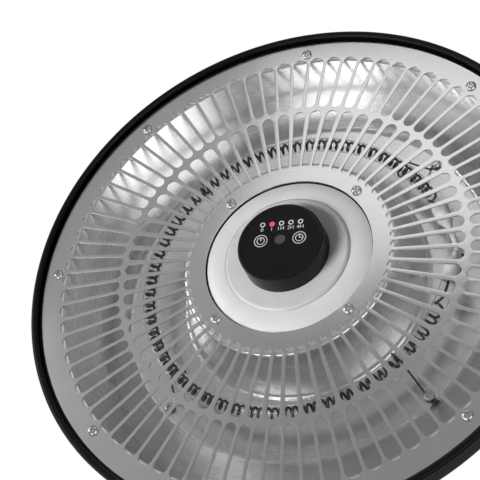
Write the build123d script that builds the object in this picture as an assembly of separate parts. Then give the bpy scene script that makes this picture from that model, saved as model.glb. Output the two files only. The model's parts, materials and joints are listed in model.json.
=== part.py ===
from build123d import *
import math
import os

# Hanging electric patio heater: a spun shade over a ring lamp and its reflector, closed below by a
# slotted grille, with the controls in the middle of the underside and a hanging eye on top.
# Millimetres. Heights are worked out from the visible face of the grille, and every part is written
# with its origin at the centre of the hanging eye's hole, +Z up, because the heater hangs from there.
# The panel reads along +X for someone who looks up at it, with the top of its text towards -Y.

# Driving dimensions: whole object
rim_radius = 212.5            # outside of the rolled rim
eye_hole_height = 220.0       # hanging hole above the grille's visible face
seat_clearance = 0.2          # between round parts that nest in one another
hole_clearance = 0.25         # screw holes over the screw's radius
cut = 5.0                     # how far a cutting tool runs past the face it cuts

# Shape of a pan head and its cross recess, as shares of its radius or height
pan_crown = 0.45              # radius of the flat on top
pan_brim = 0.45               # height of the straight edge
pan_arc = (0.83, 0.82)        # a point on the rounded shoulder
cross_depth = 0.6
cross_length = 1.15
cross_width = 0.26

# Angles the cross recesses stand at, one for each set of screws
rim_screw_spin = 12
hub_screw_spin = 20
clip_screw_spin = 15
cap_screw_spin = 30
board_screw_spin = 10
box_screw_spin = 25
housing_screw_spin = 20
bridge_screw_spin = 50
earth_screw_spin = 5
block_screw_spin = 40

# Shade
shade_sheet = 1.2
bead_radius = 2.6             # rolled rim
bead_centre_height = -3.2
shoulder_height = 17.0        # top of the straight skirt
land_height = 112.0           # flat top of the dome
land_radius = 66.0
dome_mouth_radius = 30.0      # opening for wires in the flat top
shoulder_round = 12.0
land_round = 8.0

# Seat ring, inside the rim
seat_sheet = 1.2
seat_ledge = 5.7              # ledge inside the circle of the rim screws
seat_wall_height = 10.0
rivet_count = 8
rivet_radius = 1.6
rivet_head_radius = 3.4
rivet_head_height = 1.3
rivet_height = 7.5
rivet_tail_radius = 2.4
rivet_tail_height = 1.2
rivet_seat = 0.05

# Grille
grille_sheet = 1.2
grille_edge_gap = 4.3         # from the skirt's inside to the grille's edge
grille_border = 15.5          # plain metal outside the outer slots
hub_hole_radius = 66.0
inner_slots = 60
inner_slot_start = 79.2
inner_slot_end = 134.5
inner_bar_start = 2.6         # bar width where the inner slots start
inner_bar_end = 3.9           # and where they end
inner_slot_turn = 2.45        # angle of the first inner bar
outer_slots = 80
outer_slot_start = 138.3
outer_bar = 2.7
outer_slot_turn = 0.6
rim_screws = 8
rim_screw_inset = 10.8        # from the grille's edge to the screws' circle
hub_screws = 4
hub_screw_circle = 72.2
hub_screw_turn = 45.0

# Screws and nuts
screw_radius = 2.0            # M4
screw_head_radius = 4.0
screw_head_height = 2.4
screw_end = 1.5               # thread that shows past a nut
screw_spin_step = 37.0        # each cross slot is turned on from the last one by this angle
thread_gap = 0.05
nut_height = 3.2
nut_flats = 7.0
small_screw_radius = 1.5      # M3
small_head_radius = 2.8
small_head_height = 1.8

# Reflector, its shield and the pad between them
reflector_sheet = 0.8
reflector_flange = 19.0       # outer flange, from the grille's edge
reflector_fold_radius = 149.0
reflector_roof_height = 47.0
reflector_inner_fold = 97.0
reflector_inner_bend = 84.0
reflector_inner_edge = 69.0
flange_bend = 3.0
fold_round = 6.0
shield_sheet = 0.8
shield_gap = 10.2
shield_screw_end = 1.8        # how far short screws reach below the shield, clear of the pad
shield_inner_radius = 60.0
shield_fold_radius = 152.0
shield_edge_gap = 34.5        # from the skirt's outside to the shield's lower edge
shield_edge_height = 36.0
pad_thickness = 8.0
pad_inner_radius = 92.0
pad_screw_gap = 9.5           # from the clip screws' circle to the pad's edge
pad_gap = 0.8
spacer_wall = 1.1

# Lamp: a ring tube, a little off the heater's axis, whose two ends open outwards a little
lamp_height = 22.0
lamp_ring_radius = 118.2
lamp_ring_x = -3.1            # centre of the ring
lamp_ring_y = 1.5
first_end_radius = 129.0      # gentler bend of the tube's first end
first_end_sweep = 57.6        # angle that it covers
first_end_turn = 68.0         # angle on the ring where it begins
last_end_radius = 135.0
last_end_sweep = 36.8
last_end_turn = 300.0
tube_radius = 5.5
tube_wall = 1.0
coil_first_gap = 27.0         # from the tube's first end to the coil
coil_last_gap = 16.5
coil_curls = 100
coil_radius = 3.2
filament_radius = 0.6
filament_end = 3.0            # straight length inside each end cap
cap_radius = 6.4
cap_overlap = 6.0
cap_barrel = 7.0              # past the end of the tube
cap_rim_round = 0.6           # half the rounding where the cap's nose meets its barrel
cap_nose = 6.0
cap_nose_radius = 2.8
cap_clearance = 0.25
clip_wire_radius = 0.7
clip_gap = 0.3
clip_eye_radius = 3.1
clip_screw_circle = 142.5
clip_turn = 45.0
clip_count = 4
clip_seat_gap = 0.1
clip_leg_clearance = 2.2      # from the screw's head to the bend of the clip's leg
clip_leg_bend = 2.0
clip_wrap = 215.0             # how far the hook goes round the tube

# Leads of the lamp
sleeve_radius = 2.1
lead_hole_angle = -3.6
lead_hole_radius = 122.0
lead_pitch = 4.6
lead_clearance = 0.15
grommet_wall = 1.6
grommet_lip_width = 1.4
grommet_lip_height = 2.0

# Hub
dish_sheet = 1.0
dish_height = -0.4            # visible face of the dish's flat middle
dish_outer_radius = 65.8
dish_outer_height = 3.9
dish_flat_radius = 50.2
dish_mid_radius = 58.5
dish_mid_height = 0.55
disc_radius = 49.3
disc_face_radius = 47.3
disc_thickness = 1.8
box_radius = 34.0
box_face_radius = 33.3
box_face_height = -18.5
box_wall = 2.2
box_edge_round = 1.3
panel_radius = 30.6
panel_thickness = 1.5
panel_inset = 0.4
panel_ledge = 2.4             # width of the ledge behind the panel's edge
panel_ledge_thickness = 1.1
light_pitch = 7.46
light_row = -16.3
light_count = 5
lit_light = 1
lens_radius = 2.05
sign_pitch = 15.1             # touch signs left and right of the window
sign_row = -2.1
window_radius = 4.1
lens_clearance = 0.08
lens_depth = 0.9              # how far the lenses reach behind the panel
light_radius = 1.5
receiver_size = 5.5
touch_radius = 4.8
touch_wall = 1.2
board_radius = 27.0
board_sheet = 1.6
board_height = -12.6
board_screws = 3
board_screw_circle = 23.0
board_screw_turn = 90.0
boss_radius = 3.0
box_screw_circle = 29.4
box_screws = 3
box_screw_turn = 30.0
box_boss_depth = 8.0
box_screw_gap = 1.5           # bottom of the blind hole to the screw's tip
board_screw_end = 3.0
stem_radius = 9.0
stem_bore = 6.5
stem_flange_radius = 14.0
stem_flange = 2.0
stem_nut_height = 5.0
stem_nut_flats = 26.0
spacer_thickness = 4.0
spider_sheet = 1.5
spider_bend = 0.3
spider_rim_radius = 79.5
spider_depth = 10.0
spider_wall_gap = 1.0         # between the dish's edge and the spider's wall
spider_hub_radius = 22.0
spider_window_radius = 60.0
spider_arm = 16.0

# Top housing
housing_radius = 62.0
housing_wall = 1.5
housing_height = 56.0
housing_flange = 16.0
housing_bend = 3.0
gasket_thickness = 1.0
housing_screw_circle = 55.0
housing_screws = 4
vent_count = 24
vent_width = 3.2
vent_height = 24.0
vent_bottom = 16.0            # above the dome's flat top
vent_free_angle = 28.0        # no vents this close to the cable gland
cap_sheet = 1.5
cap_skirt = 9.0
cap_rise = 12.0
cap_flat_radius = 15.0
cap_round = 5.0
cap_gap = 0.4                 # cap's skirt over the housing
cap_screws = 4
cap_screw_length = 6.0

# Suspension
bridge_sheet = 2.5
bridge_width = 24.0
bridge_reach = 47.0           # outside of its legs from the axis
bridge_foot = 11.0
bridge_bend = 3.6
stud_radius = 5.0
stud_length = 26.0
stud_nut_height = 8.0
stud_nut_flats = 16.0
washer_thickness = 1.2
washer_radius = 10.0
clevis_width = 20.0
clevis_depth = 17.6           # along the pin
clevis_base = 5.5
pin_height = 198.0
pin_radius = 3.0
pin_fit = 0.08
pin_head = 2.0
pin_head_radius = 5.0
ring_thickness = 0.8
ring_radius = 5.0
eye_thickness = 5.0
eye_side_gap = 0.3
eye_foot_radius = 8.0
eye_head_radius = 13.0
eye_hole_radius = 7.0
eye_edge = 0.8

# Electrics
board_length = 76.0
board_width = 40.0
power_board_height = 14.0     # above the dome's flat top
standoff_x = 34.0
standoff_y = 16.0
standoff_radius = 3.0
standoff_pin = 1.5
block_centre = -48.5
block_length = 15.0
block_width = 30.0
block_height = 13.0
block_ear = 3.0               # thickness of its two screw ears
block_ear_length = 5.5
block_ear_setback = 5.0       # ears narrower than the block along X
terminal_count = 3
terminal_pitch = 6.0
terminal_screw_hole = 1.8
terminal_hole_depth = 5.0
tag_radius = 4.0
tag_thickness = 0.8
tag_length = 8.0              # of the tag's tongue, about half of it inside its eye
tag_width = 3.4
tag_turn = 80.0
small_lead_radius = 1.2
wire_bend_share = 0.45        # of the shorter run beside a bend
moulded_round = 0.8           # edges of the parts on the relay board
block_screw_reach = 13.0
earth_turn = 115.0
gland_height = 30.0           # above the dome's flat top
gland_thread_radius = 8.0
gland_flats = 20.0
gland_hex = 5.0
gland_cap_radius = 10.4
gland_cap_length = 13.0
gland_saddle = 0.6            # rubber left under the hexagon where it touches the housing
gland_washer_radius = 11.0
gland_sleeve = 8.0
gland_inside = 10.0
gland_mouth = 5.2
gland_seal_length = 12.0
gland_bore = 4.3
gland_seal_radius = 6.4
locknut_flats = 22.0
locknut_height = 4.0
locknut_gap = 1.5             # its corners touch the curved wall first
cutout_radius = 8.0
cutout_height = 7.0
cutout_ear_reach = 12.0
cutout_ear_width = 8.0
cutout_ear_thickness = 1.0
cutout_blade_reach = 3.6
cutout_blade_width = 5.0
cutout_blade_thickness = 0.8
cutout_blade_height = 8.0
cutout_circle = 100.0
cutout_angle = 180.0
harness_radius = 2.6

# Radii that follow from the rim
skirt_radius = rim_radius - bead_radius + shade_sheet / 2
grille_outer_radius = skirt_radius - shade_sheet - grille_edge_gap
outer_slot_end = grille_outer_radius - grille_border
rim_screw_circle = grille_outer_radius - rim_screw_inset
seat_inner_radius = rim_screw_circle - seat_ledge
reflector_outer_bend = grille_outer_radius - reflector_flange
shield_edge_radius = skirt_radius - shield_edge_gap
pad_outer_radius = clip_screw_circle - pad_screw_gap

# Heights that follow from the sizes above
grille_top = grille_sheet
flange_top = grille_top + reflector_sheet
seat_top = flange_top + seat_sheet
roof_top = reflector_roof_height + reflector_sheet
shield_height = roof_top + shield_gap
shield_top = shield_height + shield_sheet
dish_top = dish_height + dish_sheet
disc_low = dish_height - disc_thickness
spider_plate = flange_top + spider_depth
spider_top = spider_plate + spider_sheet
housing_low = land_height + gasket_thickness
housing_floor = housing_low + housing_wall
housing_top = housing_low + housing_height
cap_top = housing_top + cap_rise + cap_sheet
bridge_top = housing_top - 0.5


def sketch_face(points, radii):
    """A flat face in the radius-height plane, its corners rounded by the radii."""
    outline = FilletPolyline(*points, radius=radii, close=True)
    return Plane.XZ * make_face(outline)


def left_of(points, distance):
    """The corners of a polyline moved to its left, keeping its sides parallel."""
    moved = []
    normals = []
    for (x0, y0), (x1, y1) in zip(points, points[1:]):
        length = math.hypot(x1 - x0, y1 - y0)
        normals.append((-(y1 - y0) / length, (x1 - x0) / length))
    for i, (x, y) in enumerate(points):
        before = normals[max(i - 1, 0)]
        after = normals[min(i, len(normals) - 1)]
        share = distance / (1 + before[0] * after[0] + before[1] * after[1])
        moved.append((x + (before[0] + after[0]) * share, y + (before[1] + after[1]) * share))
    return moved


def spun_sheet(points, bends, sheet):
    """A spun or pressed sheet. One side follows the points, with a bend radius at each corner between
    them, and its thickness lies on the left of the way they run."""
    far = left_of(points, sheet)
    far_bends = []
    for i, bend in enumerate(bends):
        (x0, y0), (x1, y1), (x2, y2) = points[i:i + 3]
        turns_left = (x1 - x0) * (y2 - y1) - (y1 - y0) * (x2 - x1) > 0
        far_bends.append(bend - sheet if turns_left else bend + sheet)
    outline = list(points) + far[::-1]
    radii = [0] + list(bends) + [0, 0] + far_bends[::-1] + [0]
    return revolve(sketch_face(outline, radii), Axis.Z)


def around(count, circle, turn=0.0, sweep_angle=360.0):
    """Places spread evenly on a circle, each with its local X pointing outwards."""
    return [
        Rot(0, 0, turn + i * sweep_angle / count) * Pos(circle, 0, 0)
        for i in range(count)
    ]


def tube(radius, bore, low, high):
    """An upright tube, or a rod where the bore is 0."""
    rod = Pos(0, 0, low) * Cylinder(radius, high - low, align=(Align.CENTER, Align.CENTER, Align.MIN))
    if bore:
        rod -= Pos(0, 0, low - 1) * Cylinder(bore, high - low + 2,
                                             align=(Align.CENTER, Align.CENTER, Align.MIN))
    return rod


def hex_prism(flats, low, high, bore=0.0):
    """An upright hexagon bar with two flats square to X."""
    outline = RegularPolygon(flats / 2, 6, major_radius=False, rotation=30)
    bar = Pos(0, 0, low) * extrude(outline, high - low)
    if bore:
        bar -= tube(bore, 0, low - 1, high + 1)
    return bar


def pan_screw(radius, head_radius, head_height, length, spin=0.0):
    """A cross-slot pan-head screw: its head hangs below z = 0 and its shank rises to length."""
    crown = head_radius * pan_crown
    brim = -head_height * pan_brim
    head = revolve(
        Plane.XZ
        * make_face(
            Polyline((0, 0), (head_radius, 0), (head_radius, brim))
            + ThreePointArc(
                (head_radius, brim),
                (head_radius * pan_arc[0], -head_height * pan_arc[1]),
                (crown, -head_height),
            )
            + Polyline((crown, -head_height), (0, -head_height), (0, 0))
        ),
        Axis.Z,
    )
    shank = tube(radius, 0, 0, length)
    slot_depth = head_height * cross_depth
    for angle in (spin, spin + 90):
        arm = Box(head_radius * cross_length, head_radius * cross_width, slot_depth * 2)
        head -= Rot(0, 0, angle) * Pos(0, 0, -head_height) * arm
    return head + shank


def slot_wire(start, end, start_width, end_width):
    """The outline of a radial slot along +X with round ends, as wide at each end as given."""
    small, large = start_width / 2, end_width / 2
    near, far = start + small, end - large
    lean = math.asin((large - small) / (far - near))
    top = []
    for centre, radius in ((near, small), (far, large)):
        top.append((centre - radius * math.sin(lean), radius * math.cos(lean)))
    (ax, ay), (bx, by) = top
    edges = [
        Edge.make_line((ax, ay), (bx, by)),
        Edge.make_three_point_arc((bx, by), (end, 0), (bx, -by)),
        Edge.make_line((bx, -by), (ax, -ay)),
        Edge.make_three_point_arc((ax, -ay), (start, 0), (ax, ay)),
    ]
    return Wire(edges)


def circle_wire(radius, x=0.0, y=0.0):
    return Wire([Edge.make_circle(radius, Plane((x, y, 0)))])


parts = {}

housing_screw_places = around(housing_screws, housing_screw_circle, 45)
bridge_screw_places = around(2, bridge_reach + bridge_foot / 2, 90)
earth_screw_places = around(1, housing_screw_circle, earth_turn)
block_screw_places = [Pos(block_centre, side * block_screw_reach, 0) for side in (-1, 1)]


def shade_arc(sheet_offset):
    """Centre height and radius of the dome's arc through the skirt's top and the flat top's edge."""
    centre = (
        skirt_radius**2 + shoulder_height**2 - land_radius**2 - land_height**2
    ) / (2 * (shoulder_height - land_height))
    return centre, math.hypot(skirt_radius, shoulder_height - centre) - sheet_offset


def shade_body(inset, foot):
    """The solid under the dome, its surface moved inwards by the inset."""
    centre, arc_radius = shade_arc(inset)
    skirt = skirt_radius - inset
    top = land_height - inset
    land = math.sqrt(arc_radius**2 - (top - centre) ** 2)
    shoulder = centre + math.sqrt(arc_radius**2 - skirt**2)
    middle = (land + skirt) / 2
    crown = (middle, centre + math.sqrt(arc_radius**2 - middle**2))
    outline = (
        Polyline((0, foot), (skirt, foot), (skirt, shoulder))
        + ThreePointArc((skirt, shoulder), crown, (land, top))
        + Polyline((land, top), (0, top), (0, foot))
    )
    face = make_face(outline)
    corners = face.vertices().filter_by(
        lambda v: abs(v.X - skirt) < 1e-3 and v.Y > foot + 1
    )
    face = fillet(corners, shoulder_round - inset)
    corners = face.vertices().filter_by(lambda v: abs(v.X - land) < 1e-3 and v.Y > top - 1)
    face = fillet(corners, land_round + inset)
    return revolve(Plane.XZ * face, Axis.Z)


def make_shade():
    shell = shade_body(0, bead_centre_height) - shade_body(shade_sheet, bead_centre_height - 1)
    bead = Pos(0, 0, bead_centre_height) * Torus(rim_radius - bead_radius, bead_radius)
    shell = shell + bead
    shell -= tube(dome_mouth_radius, 0, land_height - cut, land_height + cut)
    shell -= land_holes(land_height - cut, land_height + cut)
    for place in rivet_places():
        shell -= place * Cylinder(rivet_radius + seat_clearance / 2, 2 * cut)
    return shell


def land_holes(low, high):
    """Holes for the screws that stand in the dome's flat top: housing, bridge, earth and terminal block."""
    holes = [
        place * tube(screw_radius + hole_clearance, 0, low, high)
        for place in housing_screw_places + bridge_screw_places + earth_screw_places
    ]
    holes += [
        place * tube(small_screw_radius + seat_clearance, 0, low, high)
        for place in block_screw_places
    ]
    return holes


def rivet_places():
    """Rivets through the skirt: local +Z points outwards from the skirt's outside."""
    turn = 180.0 / rivet_count
    return [
        Rot(0, 0, turn + i * 360.0 / rivet_count)
        * Pos(skirt_radius, 0, rivet_height)
        * Rot(0, 90, 0)
        for i in range(rivet_count)
    ]


parts["shade"] = make_shade()


# Seat ring: the ledge that the reflector and the grille are screwed to
seat_wall_radius = skirt_radius - shade_sheet - seat_clearance
seat_wall_points = [
    (seat_wall_radius, flange_top + seat_wall_height),
    (seat_wall_radius, flange_top),
    (seat_inner_radius, flange_top),
]
ring_outline = seat_wall_points + left_of(seat_wall_points, -seat_sheet)[::-1]
seat_ring = revolve(sketch_face(ring_outline, [0, 2.0, 0, 0, 0.8, 0]), Axis.Z)
for place in around(rim_screws, rim_screw_circle):
    seat_ring -= place * tube(screw_radius + hole_clearance, 0, 0, seat_top + 1)
for place in rivet_places():
    seat_ring -= place * Cylinder(rivet_radius + seat_clearance / 2, 2 * cut)
parts["seat_ring"] = seat_ring

# Rivets: a domed head outside the skirt and a set head inside the seat ring's wall
grip = shade_sheet + seat_clearance + seat_sheet
rivet_dome = (rivet_head_radius**2 + rivet_head_height**2) / (2 * rivet_head_height)
rivet = Pos(0, 0, rivet_seat + rivet_head_height - rivet_dome) * Sphere(rivet_dome)
rivet &= tube(rivet_head_radius, 0, rivet_seat, rivet_seat + rivet_head_height + 1)
rivet += tube(rivet_radius, 0, -grip - rivet_seat, rivet_seat)
rivet += tube(rivet_tail_radius, 0, -grip - rivet_seat - rivet_tail_height, -grip - rivet_seat)
parts["seat_rivets"] = [place * rivet for place in rivet_places()]


# Grille: one flat plate with two rings of slots
def make_grille():
    inner_pitch = 2 * math.pi / inner_slots
    outer_pitch = 2 * math.pi / outer_slots
    inner_widths = []
    for edge, bar, side in (
        (inner_slot_start, inner_bar_start, 1),
        (inner_slot_end, inner_bar_end, -1),
    ):
        width = inner_pitch * edge - bar
        inner_widths.append(inner_pitch * (edge + side * width / 2) - bar)
    outer_widths = []
    for edge, side in ((outer_slot_start, 1), (outer_slot_end, -1)):
        width = outer_pitch * edge - outer_bar
        outer_widths.append(outer_pitch * (edge + side * width / 2) - outer_bar)
    holes = [circle_wire(hub_hole_radius)]
    inner_slot = slot_wire(inner_slot_start, inner_slot_end, *inner_widths)
    outer_slot = slot_wire(outer_slot_start, outer_slot_end, *outer_widths)
    for i in range(inner_slots):
        holes.append(Rot(0, 0, inner_slot_turn + (i + 0.5) * 360 / inner_slots) * inner_slot)
    for i in range(outer_slots):
        holes.append(Rot(0, 0, outer_slot_turn + (i + 0.5) * 360 / outer_slots) * outer_slot)
    for count, circle, turn in (
        (rim_screws, rim_screw_circle, 0),
        (hub_screws, hub_screw_circle, hub_screw_turn),
    ):
        for i in range(count):
            angle = math.radians(turn + i * 360 / count)
            holes.append(circle_wire(screw_radius + hole_clearance,
                                     circle * math.cos(angle), circle * math.sin(angle)))
    plate = Face(circle_wire(grille_outer_radius), holes)
    return extrude(plate, grille_sheet, dir=(0, 0, 1))


parts["grille"] = make_grille()


rim_screw_places = around(rim_screws, rim_screw_circle)
hub_screw_places = around(hub_screws, hub_screw_circle, hub_screw_turn)


def screw_set(places, length, first_spin):
    """Pan-head screws from below the grille, each turned its own way as an assembler leaves them."""
    return [
        place * pan_screw(screw_radius, screw_head_radius, screw_head_height, length,
                          first_spin + screw_spin_step * i)
        for i, place in enumerate(places)
    ]


def nut_set(places, low):
    nut = hex_prism(nut_flats, low, low + nut_height, screw_radius + thread_gap)
    return [place * nut for place in places]


spider_rim_top = flange_top + spider_sheet
parts["grille_screws"] = (
    screw_set(rim_screw_places, seat_top + nut_height + screw_end, rim_screw_spin)
    + screw_set(hub_screw_places, spider_rim_top + nut_height + screw_end, hub_screw_spin)
)
parts["grille_nuts"] = nut_set(rim_screw_places, seat_top) + nut_set(hub_screw_places, spider_rim_top)

# Reflector: a spun ring trough with a flat roof, its flanges on the back of the grille
reflector_points = [
    (reflector_inner_edge, grille_top),
    (reflector_inner_bend, grille_top),
    (reflector_inner_fold, reflector_roof_height),
    (reflector_fold_radius, reflector_roof_height),
    (reflector_outer_bend, grille_top),
    (grille_outer_radius, grille_top),
]
reflector = spun_sheet(reflector_points, [flange_bend, fold_round, fold_round, flange_bend],
                       reflector_sheet)
for place in rim_screw_places + hub_screw_places:
    reflector -= place * tube(screw_radius + hole_clearance, 0, 0, flange_top + 1)
clip_places = around(clip_count, clip_screw_circle, clip_turn)
for place in clip_places:
    reflector -= place * tube(screw_radius + hole_clearance, 0, reflector_roof_height - cut, roof_top + cut)

# Lead hole: two sleeves side by side through a grommet in the roof
lead_place = Rot(0, 0, lead_hole_angle) * Pos(lead_hole_radius, 0, 0)


def lead_slot(radius, low, high):
    """An upright prism round the two leads: a slot with round ends of the given radius."""
    outline = SlotCenterToCenter(lead_pitch, 2 * radius, rotation=90)
    return lead_place * Pos(0, 0, low) * extrude(outline, high - low)


grommet_bore = sleeve_radius + lead_clearance
grommet_neck = grommet_bore + grommet_wall
grommet_lip = grommet_neck + grommet_lip_width
reflector -= lead_slot(grommet_neck, reflector_roof_height - cut, roof_top + cut)
parts["reflector"] = reflector
grommet_low = reflector_roof_height - grommet_lip_height
grommet_high = roof_top + grommet_lip_height
grommet = lead_slot(grommet_neck, grommet_low, grommet_high)
grommet += lead_slot(grommet_lip, grommet_low, reflector_roof_height)
grommet += lead_slot(grommet_lip, roof_top, grommet_high)
grommet -= lead_slot(grommet_bore, grommet_low - 1, grommet_high + 1)
parts["lead_grommet"] = grommet

# Heat shield over the reflector, on spacers round the clip screws
shield_points = [
    (shield_inner_radius, shield_height),
    (shield_fold_radius, shield_height),
    (shield_edge_radius, shield_edge_height),
]
heat_shield = spun_sheet(shield_points, [fold_round], shield_sheet)
heat_shield -= lead_slot(grommet_lip, shield_height - cut, shield_top + cut)
for place in clip_places:
    heat_shield -= place * tube(screw_radius + hole_clearance, 0, shield_height - cut, shield_top + cut)
cutout_place = Rot(0, 0, cutout_angle) * Pos(cutout_circle, 0, 0)
cutout_ears = [cutout_place * Pos(0, side * cutout_ear_reach, 0) for side in (-1, 1)]
for place in cutout_ears:
    heat_shield -= place * tube(small_screw_radius + seat_clearance, 0, shield_height - cut,
                                shield_top + cut)
parts["heat_shield"] = heat_shield
spacer = tube(screw_radius + hole_clearance + spacer_wall, screw_radius + hole_clearance,
              roof_top, shield_height)
parts["shield_spacers"] = [place * spacer for place in clip_places]
pad_hole = grommet_lip + pad_gap
pad = tube(pad_outer_radius, pad_inner_radius, roof_top, roof_top + pad_thickness)
pad -= lead_slot(pad_hole, roof_top - 1, roof_top + pad_thickness + 1)
parts["insulation_pad"] = pad


def block(length, width, low, high):
    """A box standing on a height, centred on the axis."""
    return Pos(0, 0, low) * Box(length, width, high - low, align=(Align.CENTER, Align.CENTER, Align.MIN))


def screw_down(radius, head_radius, head_height, head_at, tip_at, spin=0.0):
    """A pan-head screw put in from above, its head's underside at one height and its tip at another."""
    return Pos(0, 0, head_at) * Rot(180, 0, 0) * pan_screw(radius, head_radius, head_height,
                                                         head_at - tip_at, spin)


# Thermal cut-out on the shield: it stops the lamp when the air above it is blocked
cutout_top = shield_top + cutout_height
cutout_ear_top = shield_top + cutout_ear_thickness
cutout = tube(cutout_radius, 0, shield_top, cutout_top)
cutout += block(cutout_ear_width, 2 * (cutout_ear_reach + cutout_ear_width / 2), shield_top,
                cutout_ear_top)
for side in (-1, 1):
    cutout += Pos(0, side * cutout_blade_reach, 0) * block(cutout_blade_width, cutout_blade_thickness,
                                                          cutout_top - 1, cutout_top + cutout_blade_height)
cutout = cutout_place * cutout
for place in cutout_ears:
    cutout -= place * tube(small_screw_radius + seat_clearance, 0, shield_top - 1, cutout_ear_top + 1)
parts["thermal_cutout"] = cutout
cutout_screws = [
    place * screw_down(small_screw_radius, small_head_radius, small_head_height, cutout_ear_top,
                       shield_height - shield_screw_end, clip_screw_spin)
    for place in cutout_ears
]

# Lamp: quartz ring tube, coil, ceramic end caps. Its centreline is three arcs that run on smoothly
def arc_centre(turn, radius):
    """Centre of an end's arc, which touches the ring where the end begins."""
    a = math.radians(turn)
    back = lamp_ring_radius - radius
    return lamp_ring_x + back * math.cos(a), lamp_ring_y + back * math.sin(a)


lamp_arcs = [
    (arc_centre(first_end_turn, first_end_radius), first_end_radius,
     first_end_turn - first_end_sweep, first_end_sweep),
    ((lamp_ring_x, lamp_ring_y), lamp_ring_radius, first_end_turn, last_end_turn - first_end_turn),
    (arc_centre(last_end_turn, last_end_radius), last_end_radius, last_end_turn, last_end_sweep),
]
lamp_length = sum(radius * math.radians(sweep_angle) for _, radius, _, sweep_angle in lamp_arcs)


def lamp_spot(length):
    """Point, outward direction and direction along the lamp, by length from its first end."""
    for (x, y), radius, first, sweep_angle in lamp_arcs:
        span = radius * math.radians(sweep_angle)
        if length <= span + 1e-6:
            break
        length -= span
    else:
        length += span
    a = math.radians(first) + length / radius
    point = Vector(x + radius * math.cos(a), y + radius * math.sin(a), lamp_height)
    return point, Vector(math.cos(a), math.sin(a), 0), Vector(-math.sin(a), math.cos(a), 0)


def lamp_frame(length, ahead=0.0):
    """A plane across the lamp, its normal along it, moved straight ahead by a distance."""
    point, outwards, along = lamp_spot(length)
    return Plane(origin=point + along * ahead, x_dir=outwards, z_dir=along)


lamp_path = Wire([
    Edge.make_circle(radius, Plane((x, y, lamp_height)), start_angle=first, end_angle=first + sweep_angle)
    for (x, y), radius, first, sweep_angle in lamp_arcs
])
tube_section = lamp_frame(0) * (Circle(tube_radius) - Circle(tube_radius - tube_wall))
parts["lamp_tube"] = sweep(tube_section, lamp_path)

cap_bore = tube_radius + cap_clearance
cap_end = cap_barrel + cap_nose
cap_shoulder = cap_radius * 0.8
cap_rim_end = 2.0 - cap_barrel
end_cap = revolve(
    Plane.XZ
    * make_face(
        Polyline((0, -cap_end), (cap_nose_radius, -cap_end),
                 (cap_shoulder, -cap_barrel - cap_rim_round))
        + ThreePointArc((cap_shoulder, -cap_barrel - cap_rim_round),
                        (cap_radius * 0.95, -cap_barrel + cap_rim_round), (cap_radius, cap_rim_end))
        + Polyline((cap_radius, cap_rim_end), (cap_radius, cap_overlap), (cap_bore, cap_overlap),
                   (cap_bore, 0), (0, 0), (0, -cap_end))
    ),
    Axis.Z,
)
end_cap -= tube(filament_radius + lead_clearance, 0, -filament_end - 0.5, 1)
parts["lamp_end_caps"] = [
    lamp_frame(0).location * end_cap,
    lamp_frame(lamp_length).location * Rot(180, 0, 0) * end_cap,
]


# Filament: one unbroken coil along the lamp, drawn with tangent arcs, two to each half turn
def coil_point(curl):
    """Point and direction on the coil after so many curls."""
    span = lamp_length - coil_first_gap - coil_last_gap
    here = coil_first_gap + span * curl / coil_curls
    turn = 2 * math.pi * curl
    middle, outwards, along = lamp_spot(here)
    rise = Vector(0, 0, coil_radius * math.sin(turn))
    point = middle + outwards * (coil_radius * math.cos(turn)) + rise
    around_turn = outwards * -math.sin(turn) + Vector(0, 0, math.cos(turn))
    way = around_turn * (2 * math.pi * coil_radius) + along * (span / coil_curls)
    return point, way.normalized()


def two_arcs(start, start_way, end, end_way):
    """Two arcs that leave and arrive along the given directions and meet smoothly."""
    gap = end - start
    push = gap.dot(start_way + end_way)
    spread = 2 * (1 - start_way.dot(end_way))
    reach = (-push + math.sqrt(push * push + spread * gap.dot(gap))) / spread
    middle = (start + end + (start_way - end_way) * reach) * 0.5
    middle_way = ((end - end_way * reach) - (start + start_way * reach)).normalized()
    return [
        Edge.make_tangent_arc(start, start_way, middle),
        Edge.make_tangent_arc(middle, middle_way, end),
    ]


def make_filament():
    """The coil, a smooth lead from it to each end of the lamp, and a straight end in each cap."""
    run_in = 2 * coil_radius
    first_cap, last_cap = lamp_frame(0), lamp_frame(lamp_length)
    first_lead = lamp_frame(coil_first_gap - run_in)
    last_lead = lamp_frame(lamp_length - coil_last_gap + run_in)
    begin = first_cap.origin - first_cap.z_dir * filament_end
    edges = [Edge.make_line(begin, first_cap.origin)]
    edges += two_arcs(first_cap.origin, first_cap.z_dir, first_lead.origin, first_lead.z_dir)
    point, way = coil_point(0)
    edges += two_arcs(first_lead.origin, first_lead.z_dir, point, way)
    for half in range(2 * coil_curls):
        after, after_way = coil_point((half + 1) / 2)
        edges += two_arcs(point, way, after, after_way)
        point, way = after, after_way
    edges += two_arcs(point, way, last_lead.origin, last_lead.z_dir)
    edges += two_arcs(last_lead.origin, last_lead.z_dir, last_cap.origin, last_cap.z_dir)
    edges.append(Edge.make_line(last_cap.origin, last_cap.origin + last_cap.z_dir * filament_end))
    path = Wire(edges)
    section = Plane(origin=begin, z_dir=first_cap.z_dir) * Circle(filament_radius)
    return sweep(section, path), path


filament, filament_path = make_filament()
parts["lamp_filament"] = filament


def least_gap(steps=24, curls=6):
    """The least gap between the coil's wire and itself, measured on points half a curl or more apart."""
    points = [coil_point(i / steps)[0] for i in range(curls * steps)]
    least = min(
        (a - b).length
        for i, a in enumerate(points)
        for b in points[i + steps // 2:i + 2 * steps]
    )
    return least - 2 * filament_radius


print("filament curls", coil_curls, "least gap to itself, mm", round(least_gap(), 2))
section_area = math.pi * filament_radius**2
print("filament volume over section times length",
      round(filament.volume / (section_area * filament_path.length), 4))


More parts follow.
